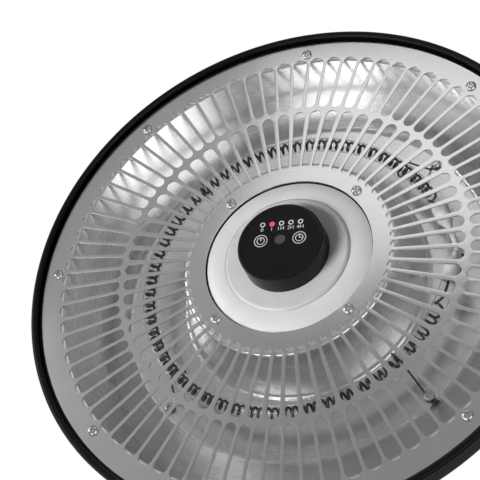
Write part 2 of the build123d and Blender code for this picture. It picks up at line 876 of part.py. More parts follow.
# Wire clips: an eye under each clip screw, a leg down to the lamp, and a hook round the tube
def lamp_reach(angle):
    """Distance of the lamp's tube from the heater's axis in the direction of an angle."""
    low, high = 0, lamp_length
    for _ in range(40):
        middle = (low + high) / 2
        point = lamp_spot(middle)[0]
        if math.degrees(math.atan2(point.Y, point.X)) % 360 < angle:
            low = middle
        else:
            high = middle
    return math.hypot(point.X, point.Y)


def make_clip(angle):
    reach = lamp_reach(angle)
    hook = tube_radius + clip_wire_radius + clip_gap
    eye_height = reflector_roof_height - clip_wire_radius - clip_seat_gap
    start = (clip_screw_circle - clip_eye_radius, eye_height)
    bend = (clip_screw_circle - screw_head_radius - clip_leg_clearance, eye_height)
    across, down = bend[0] - reach, bend[1] - lamp_height
    rise_angle = math.degrees(math.atan2(down, across))
    touch = rise_angle - math.degrees(math.acos(hook / math.hypot(across, down)))

    def on_hook(turn):
        a = math.radians(turn)
        return reach + hook * math.cos(a), lamp_height + hook * math.sin(a)

    leg = FilletPolyline(start, bend, on_hook(touch), radius=[clip_leg_bend])
    wrap = ThreePointArc(on_hook(touch), on_hook(touch - clip_wrap / 2), on_hook(touch - clip_wrap))
    path = Plane.XZ * Wire(leg.edges() + wrap.edges())
    wire = sweep(Plane(origin=path @ 0, z_dir=path % 0) * Circle(clip_wire_radius), path)
    ring = Pos(clip_screw_circle, 0, eye_height) * Torus(clip_eye_radius, clip_wire_radius)
    return Rot(0, 0, angle) * (wire + ring)


parts["lamp_clips"] = [make_clip(clip_turn + i * 360 / clip_count) for i in range(clip_count)]
clip_head = reflector_roof_height - 2 * clip_wire_radius - 1.5 * clip_seat_gap
clip_screw_length = shield_top + nut_height + screw_end - clip_head
parts["clip_screws"] = [
    place * Pos(0, 0, clip_head) * pan_screw(screw_radius, screw_head_radius, screw_head_height,
                                             clip_screw_length, screw_spin_step * i)
    for i, place in enumerate(clip_places)
]
parts["clip_nuts"] = nut_set(clip_places, shield_top)


# Wires that run inside: straight runs joined by arcs, through points chosen by hand
def polar(radius, angle, height):
    a = math.radians(angle)
    return Vector(radius * math.cos(a), radius * math.sin(a), height)


def make_wire(points, radius, name):
    """A round wire whose bends are as large as its runs allow; prints the radii."""
    points = [Vector(*point) if isinstance(point, tuple) else point for point in points]
    bends = []
    for before, here, after in zip(points, points[1:], points[2:]):
        turn = math.radians((here - before).get_angle(after - here))
        shorter = min((here - before).length, (after - here).length)
        bends.append(wire_bend_share * shorter / math.tan(turn / 2))
    path = FilletPolyline(*points, radius=bends)
    print(name, "bend radii, mm", [round(bend, 1) for bend in bends])
    way = (points[1] - points[0]).normalized()
    return sweep(Plane(origin=points[0], z_dir=way) * Circle(radius), Wire(path.edges()))


relay_low = land_height + power_board_height
first_nose = lamp_frame(0, -cap_end)
last_nose = lamp_frame(lamp_length, cap_end)
first_hole = lead_hole_angle + math.degrees(lead_pitch / 2 / lead_hole_radius)
last_hole = lead_hole_angle - math.degrees(lead_pitch / 2 / lead_hole_radius)
first_lead = [
    first_nose.origin,
    first_nose.origin - first_nose.z_dir * 4.5,
    polar(lead_hole_radius, first_hole, lamp_height + 9),
    polar(lead_hole_radius, first_hole, shield_top + 2),
    polar(lead_hole_radius - 6, first_hole + 0.4, 70),
    polar(100, -1.5, 76),
    polar(78, -1, 83),
    polar(52, 1, 92),
    polar(24, 6, 104),
    polar(24, 6, relay_low),
]
last_lead = [
    last_nose.origin,
    last_nose.origin + last_nose.z_dir * 5,
    polar(lead_hole_radius + 0.5, last_hole - 1.2, lamp_height + 6),
    polar(lead_hole_radius, last_hole, lamp_height + 16),
    polar(lead_hole_radius, last_hole, shield_top + 2),
    polar(lead_hole_radius - 6, last_hole - 0.4, 70),
    polar(100, -7, 76),
    polar(78, -9, 83),
    polar(52, -13, 92),
    polar(24, -27, 104),
    polar(24, -27, relay_low),
]
parts["lamp_leads"] = [
    make_wire(first_lead, sleeve_radius, "first lamp lead"),
    make_wire(last_lead, sleeve_radius, "last lamp lead"),
]

# Hub dish and disc
stem_hole = stem_radius + seat_clearance
dish_bottom = (
    Polyline((stem_hole, dish_height), (dish_flat_radius, dish_height))
    + ThreePointArc((dish_flat_radius, dish_height), (dish_mid_radius, dish_mid_height),
                    (dish_outer_radius, dish_outer_height))
)
dish_back = (
    Polyline((dish_outer_radius, dish_outer_height), (dish_outer_radius, dish_outer_height + dish_sheet))
    + ThreePointArc((dish_outer_radius, dish_outer_height + dish_sheet),
                    (dish_mid_radius, dish_mid_height + dish_sheet), (dish_flat_radius, dish_top))
    + Polyline((dish_flat_radius, dish_top), (stem_hole, dish_top), (stem_hole, dish_height))
)
hub_dish = revolve(Plane.XZ * make_face(dish_bottom + dish_back), Axis.Z)
disc_slope = disc_radius - disc_face_radius
disc_outline = [
    (stem_hole, dish_height),
    (disc_radius, dish_height),
    (disc_radius - disc_slope * 0.2, dish_height - disc_thickness * 0.4),
    (disc_face_radius, disc_low),
    (stem_hole, disc_low),
]
hub_disc = revolve(sketch_face(disc_outline, [0, 0, 0.5, 0.8, 0]), Axis.Z)
box_screw_places = around(box_screws, box_screw_circle, box_screw_turn)
box_screw_hole = tube(small_screw_radius + seat_clearance, 0, disc_low - cut, dish_top + cut)
box_screw_holes = [place * box_screw_hole for place in box_screw_places]
parts["hub_dish"] = hub_dish - box_screw_holes
parts["hub_disc"] = hub_disc - box_screw_holes

# Spider: a pressed cross under the hub that carries it from the grille's inner edge
spider_wall_inner = dish_outer_radius + spider_wall_gap
spider_points = [
    (stem_hole, spider_plate),
    (spider_wall_inner, spider_plate),
    (spider_wall_inner, flange_top),
    (spider_rim_radius, flange_top),
]
spider = spun_sheet(spider_points, [spider_bend, spider_bend + spider_sheet], spider_sheet)
windows = (
    Circle(spider_window_radius) - Circle(spider_hub_radius)
    - Rectangle(2 * spider_window_radius, spider_arm) - Rectangle(spider_arm, 2 * spider_window_radius)
)
spider -= Pos(0, 0, spider_plate - 1) * extrude(windows, spider_sheet + 2)
for place in hub_screw_places:
    spider -= place * tube(screw_radius + hole_clearance, 0, 0, spider_rim_top + 1)
parts["hub_spider"] = spider
parts["hub_spacer"] = tube(stem_radius + spacer_thickness, stem_hole, dish_top, spider_plate)
stem_low = disc_low - stem_flange
stem = tube(stem_radius, 0, stem_low, spider_top + stem_nut_height + 2 * screw_end)
stem += tube(stem_flange_radius, 0, stem_low, disc_low)
parts["hub_stem"] = stem - tube(stem_bore, 0, stem_low - cut, spider_top + stem_nut_height + cut)
parts["hub_stem_nut"] = hex_prism(stem_nut_flats, spider_top, spider_top + stem_nut_height,
                                  stem_radius + thread_gap)

# Control box: a moulded cup whose face holds the glossy panel in a ledge
panel_low = box_face_height + panel_inset
panel_top = panel_low + panel_thickness
ledge_top = panel_top + panel_ledge_thickness
cup_outline = [
    (0, box_face_height), (box_face_radius, box_face_height), (box_radius, disc_low), (0, disc_low),
]
control_box = revolve(sketch_face(cup_outline, [0, box_edge_round, 0, 0]), Axis.Z)
control_box -= tube(box_radius - box_wall, 0, ledge_top, disc_low + 1)
control_box -= tube(panel_radius + lens_clearance, 0, box_face_height - 1, panel_top)
control_box -= tube(panel_radius - panel_ledge, 0, box_face_height - 1, ledge_top + 1)
for place in box_screw_places:
    control_box += place * tube(boss_radius, 0, disc_low - box_boss_depth, disc_low)
for place in box_screw_places:
    control_box -= place * tube(small_screw_radius + thread_gap, 0, disc_low - box_boss_depth + 1,
                                disc_low + cut)
parts["control_box"] = control_box

# Panel, its lights and the window over the remote receiver. The touch signs are printed on it
board_screw_places = around(board_screws, board_screw_circle, board_screw_turn)
board_top = board_height + board_sheet
light_spots = [((i - (light_count - 1) / 2) * light_pitch, light_row) for i in range(light_count)]
panel = tube(panel_radius, 0, panel_low, panel_top)
for place in board_screw_places:
    panel += place * tube(boss_radius, 0, panel_top - 0.5, board_height)
    panel -= place * tube(small_screw_radius + thread_gap, 0, panel_top + 0.5, board_height + 1)
for x, y in light_spots:
    panel -= Pos(x, y, 0) * tube(lens_radius + lens_clearance, 0, panel_low - 1, panel_top + 1)
panel -= Pos(0, sign_row, 0) * tube(window_radius + lens_clearance, 0, panel_low - 1, panel_top + 1)
parts["control_panel"] = panel
lens_top = panel_top + lens_depth
lens = tube(lens_radius, 0, panel_low, lens_top)
lenses = [Pos(x, y, 0) * lens for x, y in light_spots]
parts["power_lens"] = lenses.pop(lit_light)
parts["panel_lenses"] = lenses
parts["ir_window"] = Pos(0, sign_row, 0) * tube(window_radius, 0, panel_low, panel_top + lens_depth / 2)

board = tube(board_radius, 0, board_height, board_top)
for place in board_screw_places:
    board -= place * tube(small_screw_radius + seat_clearance, 0, board_height - 1, board_top + 1)
parts["panel_board"] = board
light = tube(light_radius, 0, lens_top + seat_clearance, board_height)
receiver_low = panel_top + lens_depth / 2 + seat_clearance
parts["panel_lights"] = [Pos(x, y, 0) * light for x, y in light_spots] + [
    Pos(0, sign_row, 0) * block(receiver_size, receiver_size, receiver_low, board_height)
]
touch_pad = tube(touch_radius, touch_radius - touch_wall, panel_top, board_height)
parts["touch_pads"] = [Pos(side * sign_pitch, sign_row, 0) * touch_pad for side in (-1, 1)]
parts["control_screws"] = [
    place * screw_down(small_screw_radius, small_head_radius, small_head_height, board_top,
                       board_height - board_screw_end, board_screw_spin)
    for place in board_screw_places
] + [
    place * screw_down(small_screw_radius, small_head_radius, small_head_height, dish_top,
                       disc_low - box_boss_depth + box_screw_gap, box_screw_spin)
    for place in box_screw_places
]
control_route = [(0, 0, board_top), (0, 0, 22), (3, 2, 50), (-2, 3, 78), (0, 0, 104), (0, 0, relay_low)]
parts["control_lead"] = make_wire(control_route, harness_radius, "control lead")

# Top housing on its gasket
housing_points = [
    (housing_radius - housing_flange, housing_low),
    (housing_radius, housing_low),
    (housing_radius, housing_top),
]
housing = spun_sheet(housing_points, [housing_bend], housing_wall)
vent = Pos(housing_radius, 0, housing_low + vent_bottom + vent_height / 2) * Rot(0, 90, 0)
vent_shape = vent * extrude(SlotOverall(vent_height, vent_width), 4, both=True)
vents = []
for i in range(vent_count):
    angle = (i + 0.5) * 360 / vent_count
    if abs(angle - 180) > vent_free_angle:
        vents.append(Rot(0, 0, angle) * vent_shape)
housing -= vents
gland_centre = land_height + gland_height
gland_place = Pos(-housing_radius, 0, gland_centre) * Rot(0, -90, 0)
housing -= gland_place * tube(gland_thread_radius + hole_clearance, 0, -cut, cut)
housing -= land_holes(housing_low - 1, housing_floor + 1)
cap_screw_height = housing_top - cap_skirt / 2
cap_screw_places = [
    Rot(0, 0, 45 + i * 360 / cap_screws) * Pos(0, 0, cap_screw_height) * Rot(0, 90, 0)
    for i in range(cap_screws)
]
for place in cap_screw_places:
    housing -= place * tube(small_screw_radius + thread_gap, 0, housing_radius - cut, housing_radius + cut)
parts["top_housing"] = housing
gasket = tube(housing_radius, housing_radius - housing_flange, land_height, housing_low)
gasket -= land_holes(land_height - 1, housing_low + 1)
saddle = gland_place * tube(gland_washer_radius, gland_thread_radius + seat_clearance, -4, gland_saddle)
saddle -= tube(housing_radius, 0, housing_floor, housing_top)
parts["housing_gaskets"] = [gasket, saddle]
land_under = land_height - shade_sheet
nut_low = land_under - nut_height
tip = nut_low - screw_end
parts["housing_screws"] = [
    place * screw_down(screw_radius, screw_head_radius, screw_head_height, housing_floor, tip,
                       housing_screw_spin)
    for place in housing_screw_places
] + [
    place * screw_down(screw_radius, screw_head_radius, screw_head_height, housing_floor + bridge_sheet,
                       tip, bridge_screw_spin)
    for place in bridge_screw_places
] + [
    place * screw_down(screw_radius, screw_head_radius, screw_head_height, housing_floor + tag_thickness,
                       tip, earth_screw_spin)
    for place in earth_screw_places
]
parts["housing_nuts"] = nut_set(housing_screw_places + bridge_screw_places + earth_screw_places, nut_low)

# Top cap: a low cone whose skirt goes over the housing
cap_inner = housing_radius + cap_gap
cap_seat = housing_top + 0.3
cap_points = [
    (stud_radius + cap_gap, housing_top + cap_rise),
    (cap_flat_radius, housing_top + cap_rise),
    (cap_inner, cap_seat),
    (cap_inner, housing_top - cap_skirt),
]
top_cap = spun_sheet(cap_points, [cap_round, 0.5], cap_sheet)
for place in cap_screw_places:
    top_cap -= place * tube(small_screw_radius + seat_clearance, 0, housing_radius - cut,
                            housing_radius + cut)
parts["top_cap"] = top_cap
cap_outer = cap_inner + cap_sheet
parts["cap_screws"] = [
    place * Pos(0, 0, cap_outer) * Rot(180, 0, 0)
    * pan_screw(small_screw_radius, small_head_radius, small_head_height, cap_screw_length,
                cap_screw_spin)
    for place in cap_screw_places
]

# Load bridge: a bent strap from the dome's flat top up to the stud
bridge_inner = bridge_reach - bridge_sheet
bridge_points = [
    (-bridge_reach - bridge_foot, housing_floor),
    (-bridge_inner, housing_floor),
    (-bridge_inner, bridge_top - bridge_sheet),
    (bridge_inner, bridge_top - bridge_sheet),
    (bridge_inner, housing_floor),
    (bridge_reach + bridge_foot, housing_floor),
]
bridge_far = left_of(bridge_points, bridge_sheet)
tight, wide = bridge_bend - bridge_sheet, bridge_bend
bridge_bends = [0, wide, tight, tight, wide, 0] + [0, tight, wide, wide, tight, 0]
bridge_side = Plane.YZ * make_face(FilletPolyline(*bridge_points, *bridge_far[::-1], radius=bridge_bends,
                                                  close=True))
bridge = extrude(bridge_side, bridge_width / 2, both=True)
bridge -= tube(stud_radius + hole_clearance, 0, bridge_top - cut, bridge_top + cut)
for place in bridge_screw_places:
    bridge -= place * tube(screw_radius + hole_clearance, 0, housing_floor - 1, housing_floor + cut)
parts["load_bridge"] = bridge
cap_under = housing_top + cap_rise
parts["stud_spacer"] = tube(stud_radius + spacer_thickness, stud_radius + hole_clearance, bridge_top,
                            cap_under)

# Clevis with its stud, the pin and the hanging eye that swings on it
washer_top = cap_top + washer_thickness
parts["clevis_washer"] = tube(washer_radius, stud_radius + seat_clearance, cap_top, washer_top)
clevis_profile = make_face(
    Polyline((-clevis_width / 2, washer_top), (clevis_width / 2, washer_top),
             (clevis_width / 2, pin_height))
    + ThreePointArc((clevis_width / 2, pin_height), (0, pin_height + clevis_width / 2),
                    (-clevis_width / 2, pin_height))
    + Line((-clevis_width / 2, pin_height), (-clevis_width / 2, washer_top))
)
clevis = extrude(Plane.YZ * clevis_profile, clevis_depth / 2, both=True)
clevis = chamfer(clevis.faces().filter_by(Axis.X).edges().filter_by(GeomType.CIRCLE), 0.6)
slot_floor = washer_top + clevis_base
slot_width = eye_thickness + 2 * eye_side_gap
clevis -= block(slot_width, clevis_width + 2, slot_floor, pin_height + clevis_width)
pin_place = Pos(0, 0, pin_height) * Rot(0, 90, 0)
clevis -= pin_place * tube(pin_radius + thread_gap, 0, -clevis_depth, clevis_depth)
clevis += tube(stud_radius, 0, washer_top - stud_length, washer_top)
parts["clevis"] = clevis
nut_seat = bridge_top - bridge_sheet
parts["clevis_nut"] = hex_prism(stud_nut_flats, nut_seat - stud_nut_height, nut_seat,
                                stud_radius + thread_gap)
pin_end = clevis_depth / 2 + ring_thickness + 2 * screw_end
pin_start = -clevis_depth / 2 - thread_gap
clevis_pin = tube(pin_radius, 0, pin_start - 1, pin_end)
clevis_pin = chamfer(clevis_pin.edges().group_by(Axis.Z)[-1], 0.5)
clevis_pin += tube(pin_head_radius, 0, pin_start - pin_head, pin_start)
parts["clevis_pin"] = pin_place * clevis_pin
ring_low = clevis_depth / 2 + 2 * thread_gap
pin_ring = tube(ring_radius, pin_radius + thread_gap, ring_low, ring_low + ring_thickness)
parts["pin_clip"] = pin_place * pin_ring

eye_outline = slot_wire(-eye_foot_radius, eye_hole_height - pin_height + eye_head_radius,
                        2 * eye_foot_radius, 2 * eye_head_radius)
hanging_eye = extrude(Face(eye_outline), eye_thickness / 2, both=True)
hanging_eye = chamfer(hanging_eye.faces().filter_by(Axis.Z).edges(), eye_edge)
hanging_eye -= Pos(eye_hole_height - pin_height, 0, 0) * Cylinder(eye_hole_radius, 2 * eye_thickness)
hanging_eye -= Cylinder(pin_radius + pin_fit, 2 * eye_thickness)
parts["hanging_eye"] = Pos(0, 0, pin_height) * Rot(0, -90, 0) * hanging_eye

# Cable gland in the housing's side; its local height runs outwards
gland_hex_low = gland_saddle
gland_hex_top = gland_hex_low + gland_hex
sleeve_end = gland_hex_top + gland_sleeve
gland_body = hex_prism(gland_flats, gland_hex_low, gland_hex_top)
gland_body += tube(gland_thread_radius, 0, -gland_inside, sleeve_end)
gland_body -= tube(gland_bore + 0.5, 0, -gland_inside - 1, sleeve_end + 1)
gland_body -= tube(gland_seal_radius, 0, gland_hex_low + 2, sleeve_end + 1)
parts["gland_body"] = gland_place * gland_body
seal_low = gland_hex_low + 2 + thread_gap
seal_top = seal_low + gland_seal_length
parts["gland_seal"] = gland_place * tube(gland_seal_radius - thread_gap, gland_bore, seal_low, seal_top)
cap_low = gland_hex_top + 0.3
dome_outline = [
    (gland_mouth, cap_low), (gland_cap_radius, cap_low),
    (gland_cap_radius, cap_low + gland_cap_length), (gland_mouth, cap_low + gland_cap_length),
]
gland_cap = revolve(sketch_face(dome_outline, [0, 0.6, 3.0, 0]), Axis.Z)
gland_cap -= tube(gland_thread_radius + thread_gap, 0, cap_low - 1, seal_top + seat_clearance)
parts["gland_cap"] = gland_place * gland_cap
locknut_top = -housing_wall - locknut_gap
parts["gland_locknut"] = gland_place * hex_prism(locknut_flats, locknut_top - locknut_height, locknut_top,
                                                 gland_thread_radius + thread_gap)

# Terminal block, relay board and what stands on it
block_top = housing_floor + block_height
terminal_block = Pos(block_centre, 0, 0) * (
    block(block_length, block_width - 2 * block_ear_length, housing_floor, block_top)
    + block(block_length - block_ear_setback, block_width, housing_floor, housing_floor + block_ear)
)
for place in block_screw_places:
    terminal_block -= place * tube(small_screw_radius + seat_clearance, 0, housing_floor - 1, block_top)
for i in range(terminal_count):
    y = (i - (terminal_count - 1) / 2) * terminal_pitch
    hole = tube(terminal_screw_hole, 0, block_top - terminal_hole_depth, block_top + 1)
    terminal_block -= Pos(block_centre, y, 0) * hole
parts["terminal_block"] = terminal_block
parts["inner_screws"] = cutout_screws + [
    place * screw_down(small_screw_radius, small_head_radius, small_head_height,
                       housing_floor + block_ear, land_under - 2, block_screw_spin)
    for place in block_screw_places
]
relay_top = relay_low + board_sheet
relay_board = fillet(block(board_length, board_width, relay_low, relay_top).edges().filter_by(Axis.Z), 2.0)
standoff_spots = [(x, y) for x in (-standoff_x, standoff_x) for y in (-standoff_y, standoff_y)]
for x, y in standoff_spots:
    relay_board -= Pos(x, y, 0) * tube(standoff_pin + seat_clearance, 0, relay_low - 1, relay_top + 1)
parts["relay_board"] = relay_board
standoff = tube(standoff_radius, 0, land_height, relay_low)
standoff += tube(standoff_pin, 0, relay_low - cut, relay_top + 2)
parts["board_standoffs"] = [Pos(x, y, 0) * standoff for x, y in standoff_spots]


def board_part(x, y, length, width, height):
    shape = block(length, width, relay_top, relay_top + height)
    edges = shape.edges().filter_by(Axis.Z) + shape.faces().sort_by(Axis.Z)[-1].edges()
    return Pos(x, y, 0) * fillet(edges, moulded_round)


parts["power_parts"] = [
    board_part(-12, 6, 19, 15, 15),
    board_part(-12, -11, 19, 15, 15),
    board_part(17, 3, 26, 22, 18),
    board_part(16, -14, 21, 6, 7),
]

# Small leads: block to board, cut-out to board, and the earth lead with its tag
lead_entry = block_centre + 4
inner_leads = []
for i in range(terminal_count):
    y = (i - (terminal_count - 1) / 2) * terminal_pitch
    route = [
        (lead_entry - 3.9, y, block_top - 5), (lead_entry - 3.9, y, block_top + 4),
        (lead_entry + 2, y * 0.98, block_top + 9), (-board_length / 2 + 7.5, y * 0.9, block_top + 7),
        (-board_length / 2 + 7.5, y * 0.9, relay_top),
    ]
    inner_leads.append(make_wire(route, small_lead_radius, "block lead"))
blade_end = cutout_top + cutout_blade_height
for side in (-1, 1):
    y = side * cutout_blade_reach
    route = [
        (-cutout_circle, y, blade_end), (-cutout_circle, y, blade_end + 5),
        (-82, y * 1.2, 87), (-56, y * 1.5, 93), (-23, y * 2, 103), (-23, y * 2, relay_low),
    ]
    inner_leads.append(make_wire(route, small_lead_radius, "cut-out lead"))
earth_place = earth_screw_places[0]
tag_top = housing_floor + tag_thickness
tag = block(2 * tag_radius, 2 * tag_radius, housing_floor, tag_top) & tube(tag_radius, 0, 0, tag_top)
tag += Pos(tag_radius, 0, 0) * block(tag_length, tag_width, housing_floor, tag_top)
tag -= tube(screw_radius + hole_clearance, 0, 0, tag_top + 1)
tag = earth_place * Rot(0, 0, tag_turn) * tag
tag_end = (earth_place * Rot(0, 0, tag_turn) * Pos(tag_radius + 4, 0, tag_top + small_lead_radius)).position
block_side = block_width / 2 - block_ear_length
earth_route = [
    (tag_end.X, tag_end.Y, tag_end.Z), (tag_end.X - 6, tag_end.Y - 4, tag_end.Z + 1),
    (-43, 34, 120.5), (block_centre, 23, 122), (block_centre, block_side, 122),
]
inner_leads.append(make_wire(earth_route, small_lead_radius, "earth lead"))
inner_leads.append(tag)
parts["inner_leads"] = inner_leads

os.makedirs("parts", exist_ok=True)
to_eye = Pos(0, 0, -eye_hole_height)
for name, shape in parts.items():
    if isinstance(shape, list):
        shape = Compound(children=[to_eye * solid for piece in shape for solid in piece.solids()])
    else:
        shape = to_eye * shape
    export_step(shape, f"parts/{name}.step")
print(len(parts), "nodes written")
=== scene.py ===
# %% [markdown]
# Electric patio heater: a lesson in dressing a measured model.
#
# The heater hangs from an eye and is seen from below. A black spun shade holds a bright reflector, a
# ring lamp and a slotted aluminium grille, and a white hub with a black touch panel sits in the
# middle. The construction comes in as a fixed frame, with every piece in its real place, and this
# script only makes the surfaces: finer shapes where the light needs them, and a finish for each one.

# %% Load the frame and keep its box
import math
import bmesh
import bpy
from mathutils import Euler, Matrix, Vector
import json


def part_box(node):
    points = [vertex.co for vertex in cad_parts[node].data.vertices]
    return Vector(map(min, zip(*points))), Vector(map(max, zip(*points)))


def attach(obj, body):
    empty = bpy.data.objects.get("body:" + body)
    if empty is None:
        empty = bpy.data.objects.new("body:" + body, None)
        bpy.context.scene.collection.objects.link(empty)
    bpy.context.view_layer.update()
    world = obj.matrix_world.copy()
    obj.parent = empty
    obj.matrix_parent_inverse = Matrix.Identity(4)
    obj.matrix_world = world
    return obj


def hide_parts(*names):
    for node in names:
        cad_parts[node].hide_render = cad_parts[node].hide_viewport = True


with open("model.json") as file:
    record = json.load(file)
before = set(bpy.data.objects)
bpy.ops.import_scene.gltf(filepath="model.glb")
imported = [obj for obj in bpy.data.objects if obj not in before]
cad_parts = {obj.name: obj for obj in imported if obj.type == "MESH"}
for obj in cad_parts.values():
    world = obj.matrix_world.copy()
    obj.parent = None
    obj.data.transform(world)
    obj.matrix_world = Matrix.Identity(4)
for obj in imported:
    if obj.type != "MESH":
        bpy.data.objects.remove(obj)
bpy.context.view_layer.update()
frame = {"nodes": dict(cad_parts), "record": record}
print("frame nodes", len(frame["nodes"]))

# %% [markdown]
# All sizes below are millimetres, as a workshop drawing gives them, and heights are measured upwards
# from the visible face of the grille. Two short helpers turn them into the frame's metres, so no
# piece has to be fitted afterwards.

# %% Units and the heater's own height line
MM = 0.001
face_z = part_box("grille")[0].z
up = Vector((0, 0, 1))


def place(x, y, height):
    """A point given in millimetres, with its height above the grille's face."""
    return Vector((x * MM, y * MM, face_z + height * MM))


def polar(radius, angle, height):
    """The same for a distance from the axis and an angle in degrees."""
    a = math.radians(angle)
    return place(radius * math.cos(a), radius * math.sin(a), height)


print("grille face at", round(face_z, 4), "m")

# %% [markdown]
# The camera looks up at the heater from below and from one side, close enough for the rim to leave
# the picture. It could be aimed by hand, but the place and the turn of a real camera were worked out
# from the round edges of the heater, so they are written as the camera's place and its two
# directions, in the heater's own frame.

# %% Camera
eye_x, eye_y, eye_height = 278.7, 463.4, -732.8
camera_place = place(eye_x, eye_y, eye_height)
camera_right = Vector((0.9355, -0.1059, 0.3372)).normalized()
camera_down = Vector((-0.0904, 0.8506, 0.5180)).normalized()
camera_ahead = camera_right.cross(camera_down).normalized()
camera_down = camera_ahead.cross(camera_right)
lens_length = 90.66

camera_data = bpy.data.cameras.new("camera")
camera_data.lens = lens_length
camera_data.sensor_width = 36.0
camera = bpy.data.objects.new("camera", camera_data)
bpy.context.scene.collection.objects.link(camera)
turned = Matrix((camera_right, -camera_down, -camera_ahead)).transposed()
camera.matrix_world = Matrix.Translation(camera_place) @ turned.to_4x4()
bpy.context.scene.camera = camera
print("camera looks up at", round(math.degrees(math.asin(camera_ahead.z)), 1), "degrees")

# %% [markdown]
# A shader tree and a geometry tree are built the same way: add a node, set what it needs, and wire it
# to the others. One helper does all three, so that each finish below reads as a short list of steps.

# %% Node helpers


def put(tree, kind, wires=None, **settings):
    """Adds a node, with its settings, and its sockets set to numbers or wired to other sockets."""
    node = tree.nodes.new(kind)
    for name, value in settings.items():
        setattr(node, name, value)
    for key, value in (wires or {}).items():
        socket = node.inputs[key]
        if isinstance(value, bpy.types.NodeSocket):
            tree.links.new(value, socket)
        else:
            socket.default_value = value
    return node


def reckon(tree, operation, first, second=0.0, third=0.0):
    """One step of arithmetic in a tree."""
    return put(tree, "ShaderNodeMath", {0: first, 1: second, 2: third}, operation=operation).outputs[0]


def spread(tree, value, low, high, from_low=0.0, from_high=1.0):
    """Stretches a value from one range to another."""
    wires = {"Value": value, "From Min": from_low, "From Max": from_high, "To Min": low, "To Max": high}
    return put(tree, "ShaderNodeMapRange", wires).outputs["Result"]


def blend_colours(tree, share, first, second):
    """A colour between two others, each wired or given as red, green and blue."""
    low, high = (c if isinstance(c, bpy.types.NodeSocket) else (*c, 1.0) for c in (first, second))
    return put(tree, "ShaderNodeMix", {0: share, 6: low, 7: high}, data_type="RGBA").outputs[2]


# %% [markdown]
# The studio is plain: an even grey world, a few lamps, and a pale floor far under the heater. The
# camera must see white behind the heater, but that white may not light it. Light Path tells the world
# which ray is asking, so the camera gets white, mirrors and glass get a middle grey, and enamel is lit
# by a darker one.

# %% World
scene = bpy.context.scene
scene.view_settings.view_transform = "Standard"
studio_grey = 0.15
mirror_grey = 0.29

world = bpy.data.worlds.new("studio")
scene.world = world
world.use_nodes = True
sky = world.node_tree
sky.nodes.clear()
rays = put(sky, "ShaderNodeLightPath")
mirrored = reckon(sky, "MAXIMUM", rays.outputs["Is Glossy Ray"], rays.outputs["Is Transmission Ray"])
level = spread(sky, mirrored, studio_grey, mirror_grey)
level = spread(sky, rays.outputs["Is Camera Ray"], level, 1.0)
glow = put(sky, "ShaderNodeBackground", {"Color": (1, 1, 1, 1), "Strength": level})
put(sky, "ShaderNodeOutputWorld", {"Surface": glow.outputs[0]})
print("world grey", studio_grey, "and in mirrors", mirror_grey)

# %% [markdown]
# Enamel shows where light comes from by its shadows, but metal shows what stands round it. So a
# photographer of metal sets up large pale cards beside the lamps, and moves them until they lie where
# the metal should shine. A card here is a lamp that diffuse rays cannot see. The lamp below the heater
# is the opposite: it lights the enamel and is hidden from gloss, so that no hot spot shows there.

# %% Lamps and cards
card_distance = 1900
plate_card_depth = 1016


def soft_lamp(name, spot, width, height, power):
    """An oblong studio lamp, hidden from the camera, that faces the middle of the heater."""
    data = bpy.data.lights.new(name, "AREA")
    data.shape = "RECTANGLE"
    data.size = width
    data.size_y = height
    data.energy = power
    lamp = bpy.data.objects.new(name, data)
    lamp.location = spot
    lamp.rotation_mode = "QUATERNION"
    lamp.rotation_quaternion = (place(0, 0, 0) - spot).to_track_quat("-Z", "Y")
    lamp.visible_camera = False
    scene.collection.objects.link(lamp)
    return lamp


def card(name, azimuth, drop, width, height, brightness):
    """A pale card that only metal, glass and gloss can see, so many degrees round and below."""
    level = card_distance * math.cos(math.radians(drop))
    spot = polar(level, azimuth, -card_distance * math.sin(math.radians(drop)))
    lamp = soft_lamp(name, spot, width, height, brightness * math.pi * width * height)
    lamp.visible_diffuse = False
    return lamp


def card_under_plate(name, x_range, y_range, brightness):
    """A level card whose mirror image fills an oblong of the grille, seen from the camera."""
    reach = 1 - plate_card_depth / eye_height
    width, height = ((high - low) * reach * MM for low, high in (x_range, y_range))
    x = eye_x + (sum(x_range) / 2 - eye_x) * reach
    y = eye_y + (sum(y_range) / 2 - eye_y) * reach
    lamp = card(name, 0, 0, width, height, brightness)
    lamp.location = place(x, y, -plate_card_depth)
    lamp.rotation_quaternion = up.to_track_quat("-Z", "Y")


key_lamp = soft_lamp("key_lamp", place(-600, 600, -950), width=0.5, height=0.5, power=16.0)
key_lamp.visible_glossy = False
soft_lamp("top_lamp", place(-500, -700, 1500), width=1.2, height=1.2, power=12.0)
card("right_card", azimuth=35, drop=31, width=1.7, height=0.7, brightness=1.75)
card("front_card", azimuth=116, drop=25, width=1.35, height=0.36, brightness=3.8)
card("low_card", azimuth=151, drop=10, width=1.9, height=0.45, brightness=2.6)
card("left_card", azimuth=197, drop=33, width=0.7, height=0.7, brightness=3.4)
card_under_plate("plate_card", x_range=(-30, 205), y_range=(-205, 15), brightness=0.8)
card_under_plate("dim_card", x_range=(-205, -32), y_range=(-205, 205), brightness=0.1)
print("lamps and cards", len(bpy.data.lights))

# %% [markdown]
# The floor lies so far down that the heater's shadow on it is faint.

# %% Floor
floor_drop, floor_half = 2.1, 12.0
floor_mesh = bpy.data.meshes.new("floor")
floor_corners = [(x * floor_half, y * floor_half, 0) for x, y in ((-1, -1), (1, -1), (1, 1), (-1, 1))]
floor_mesh.from_pydata(floor_corners, [], [(0, 1, 2, 3)])
floor = bpy.data.objects.new("floor", floor_mesh)
floor.location = (0, 0, face_z - floor_drop)
scene.collection.objects.link(floor)
print("floor", floor_drop, "m below the grille")

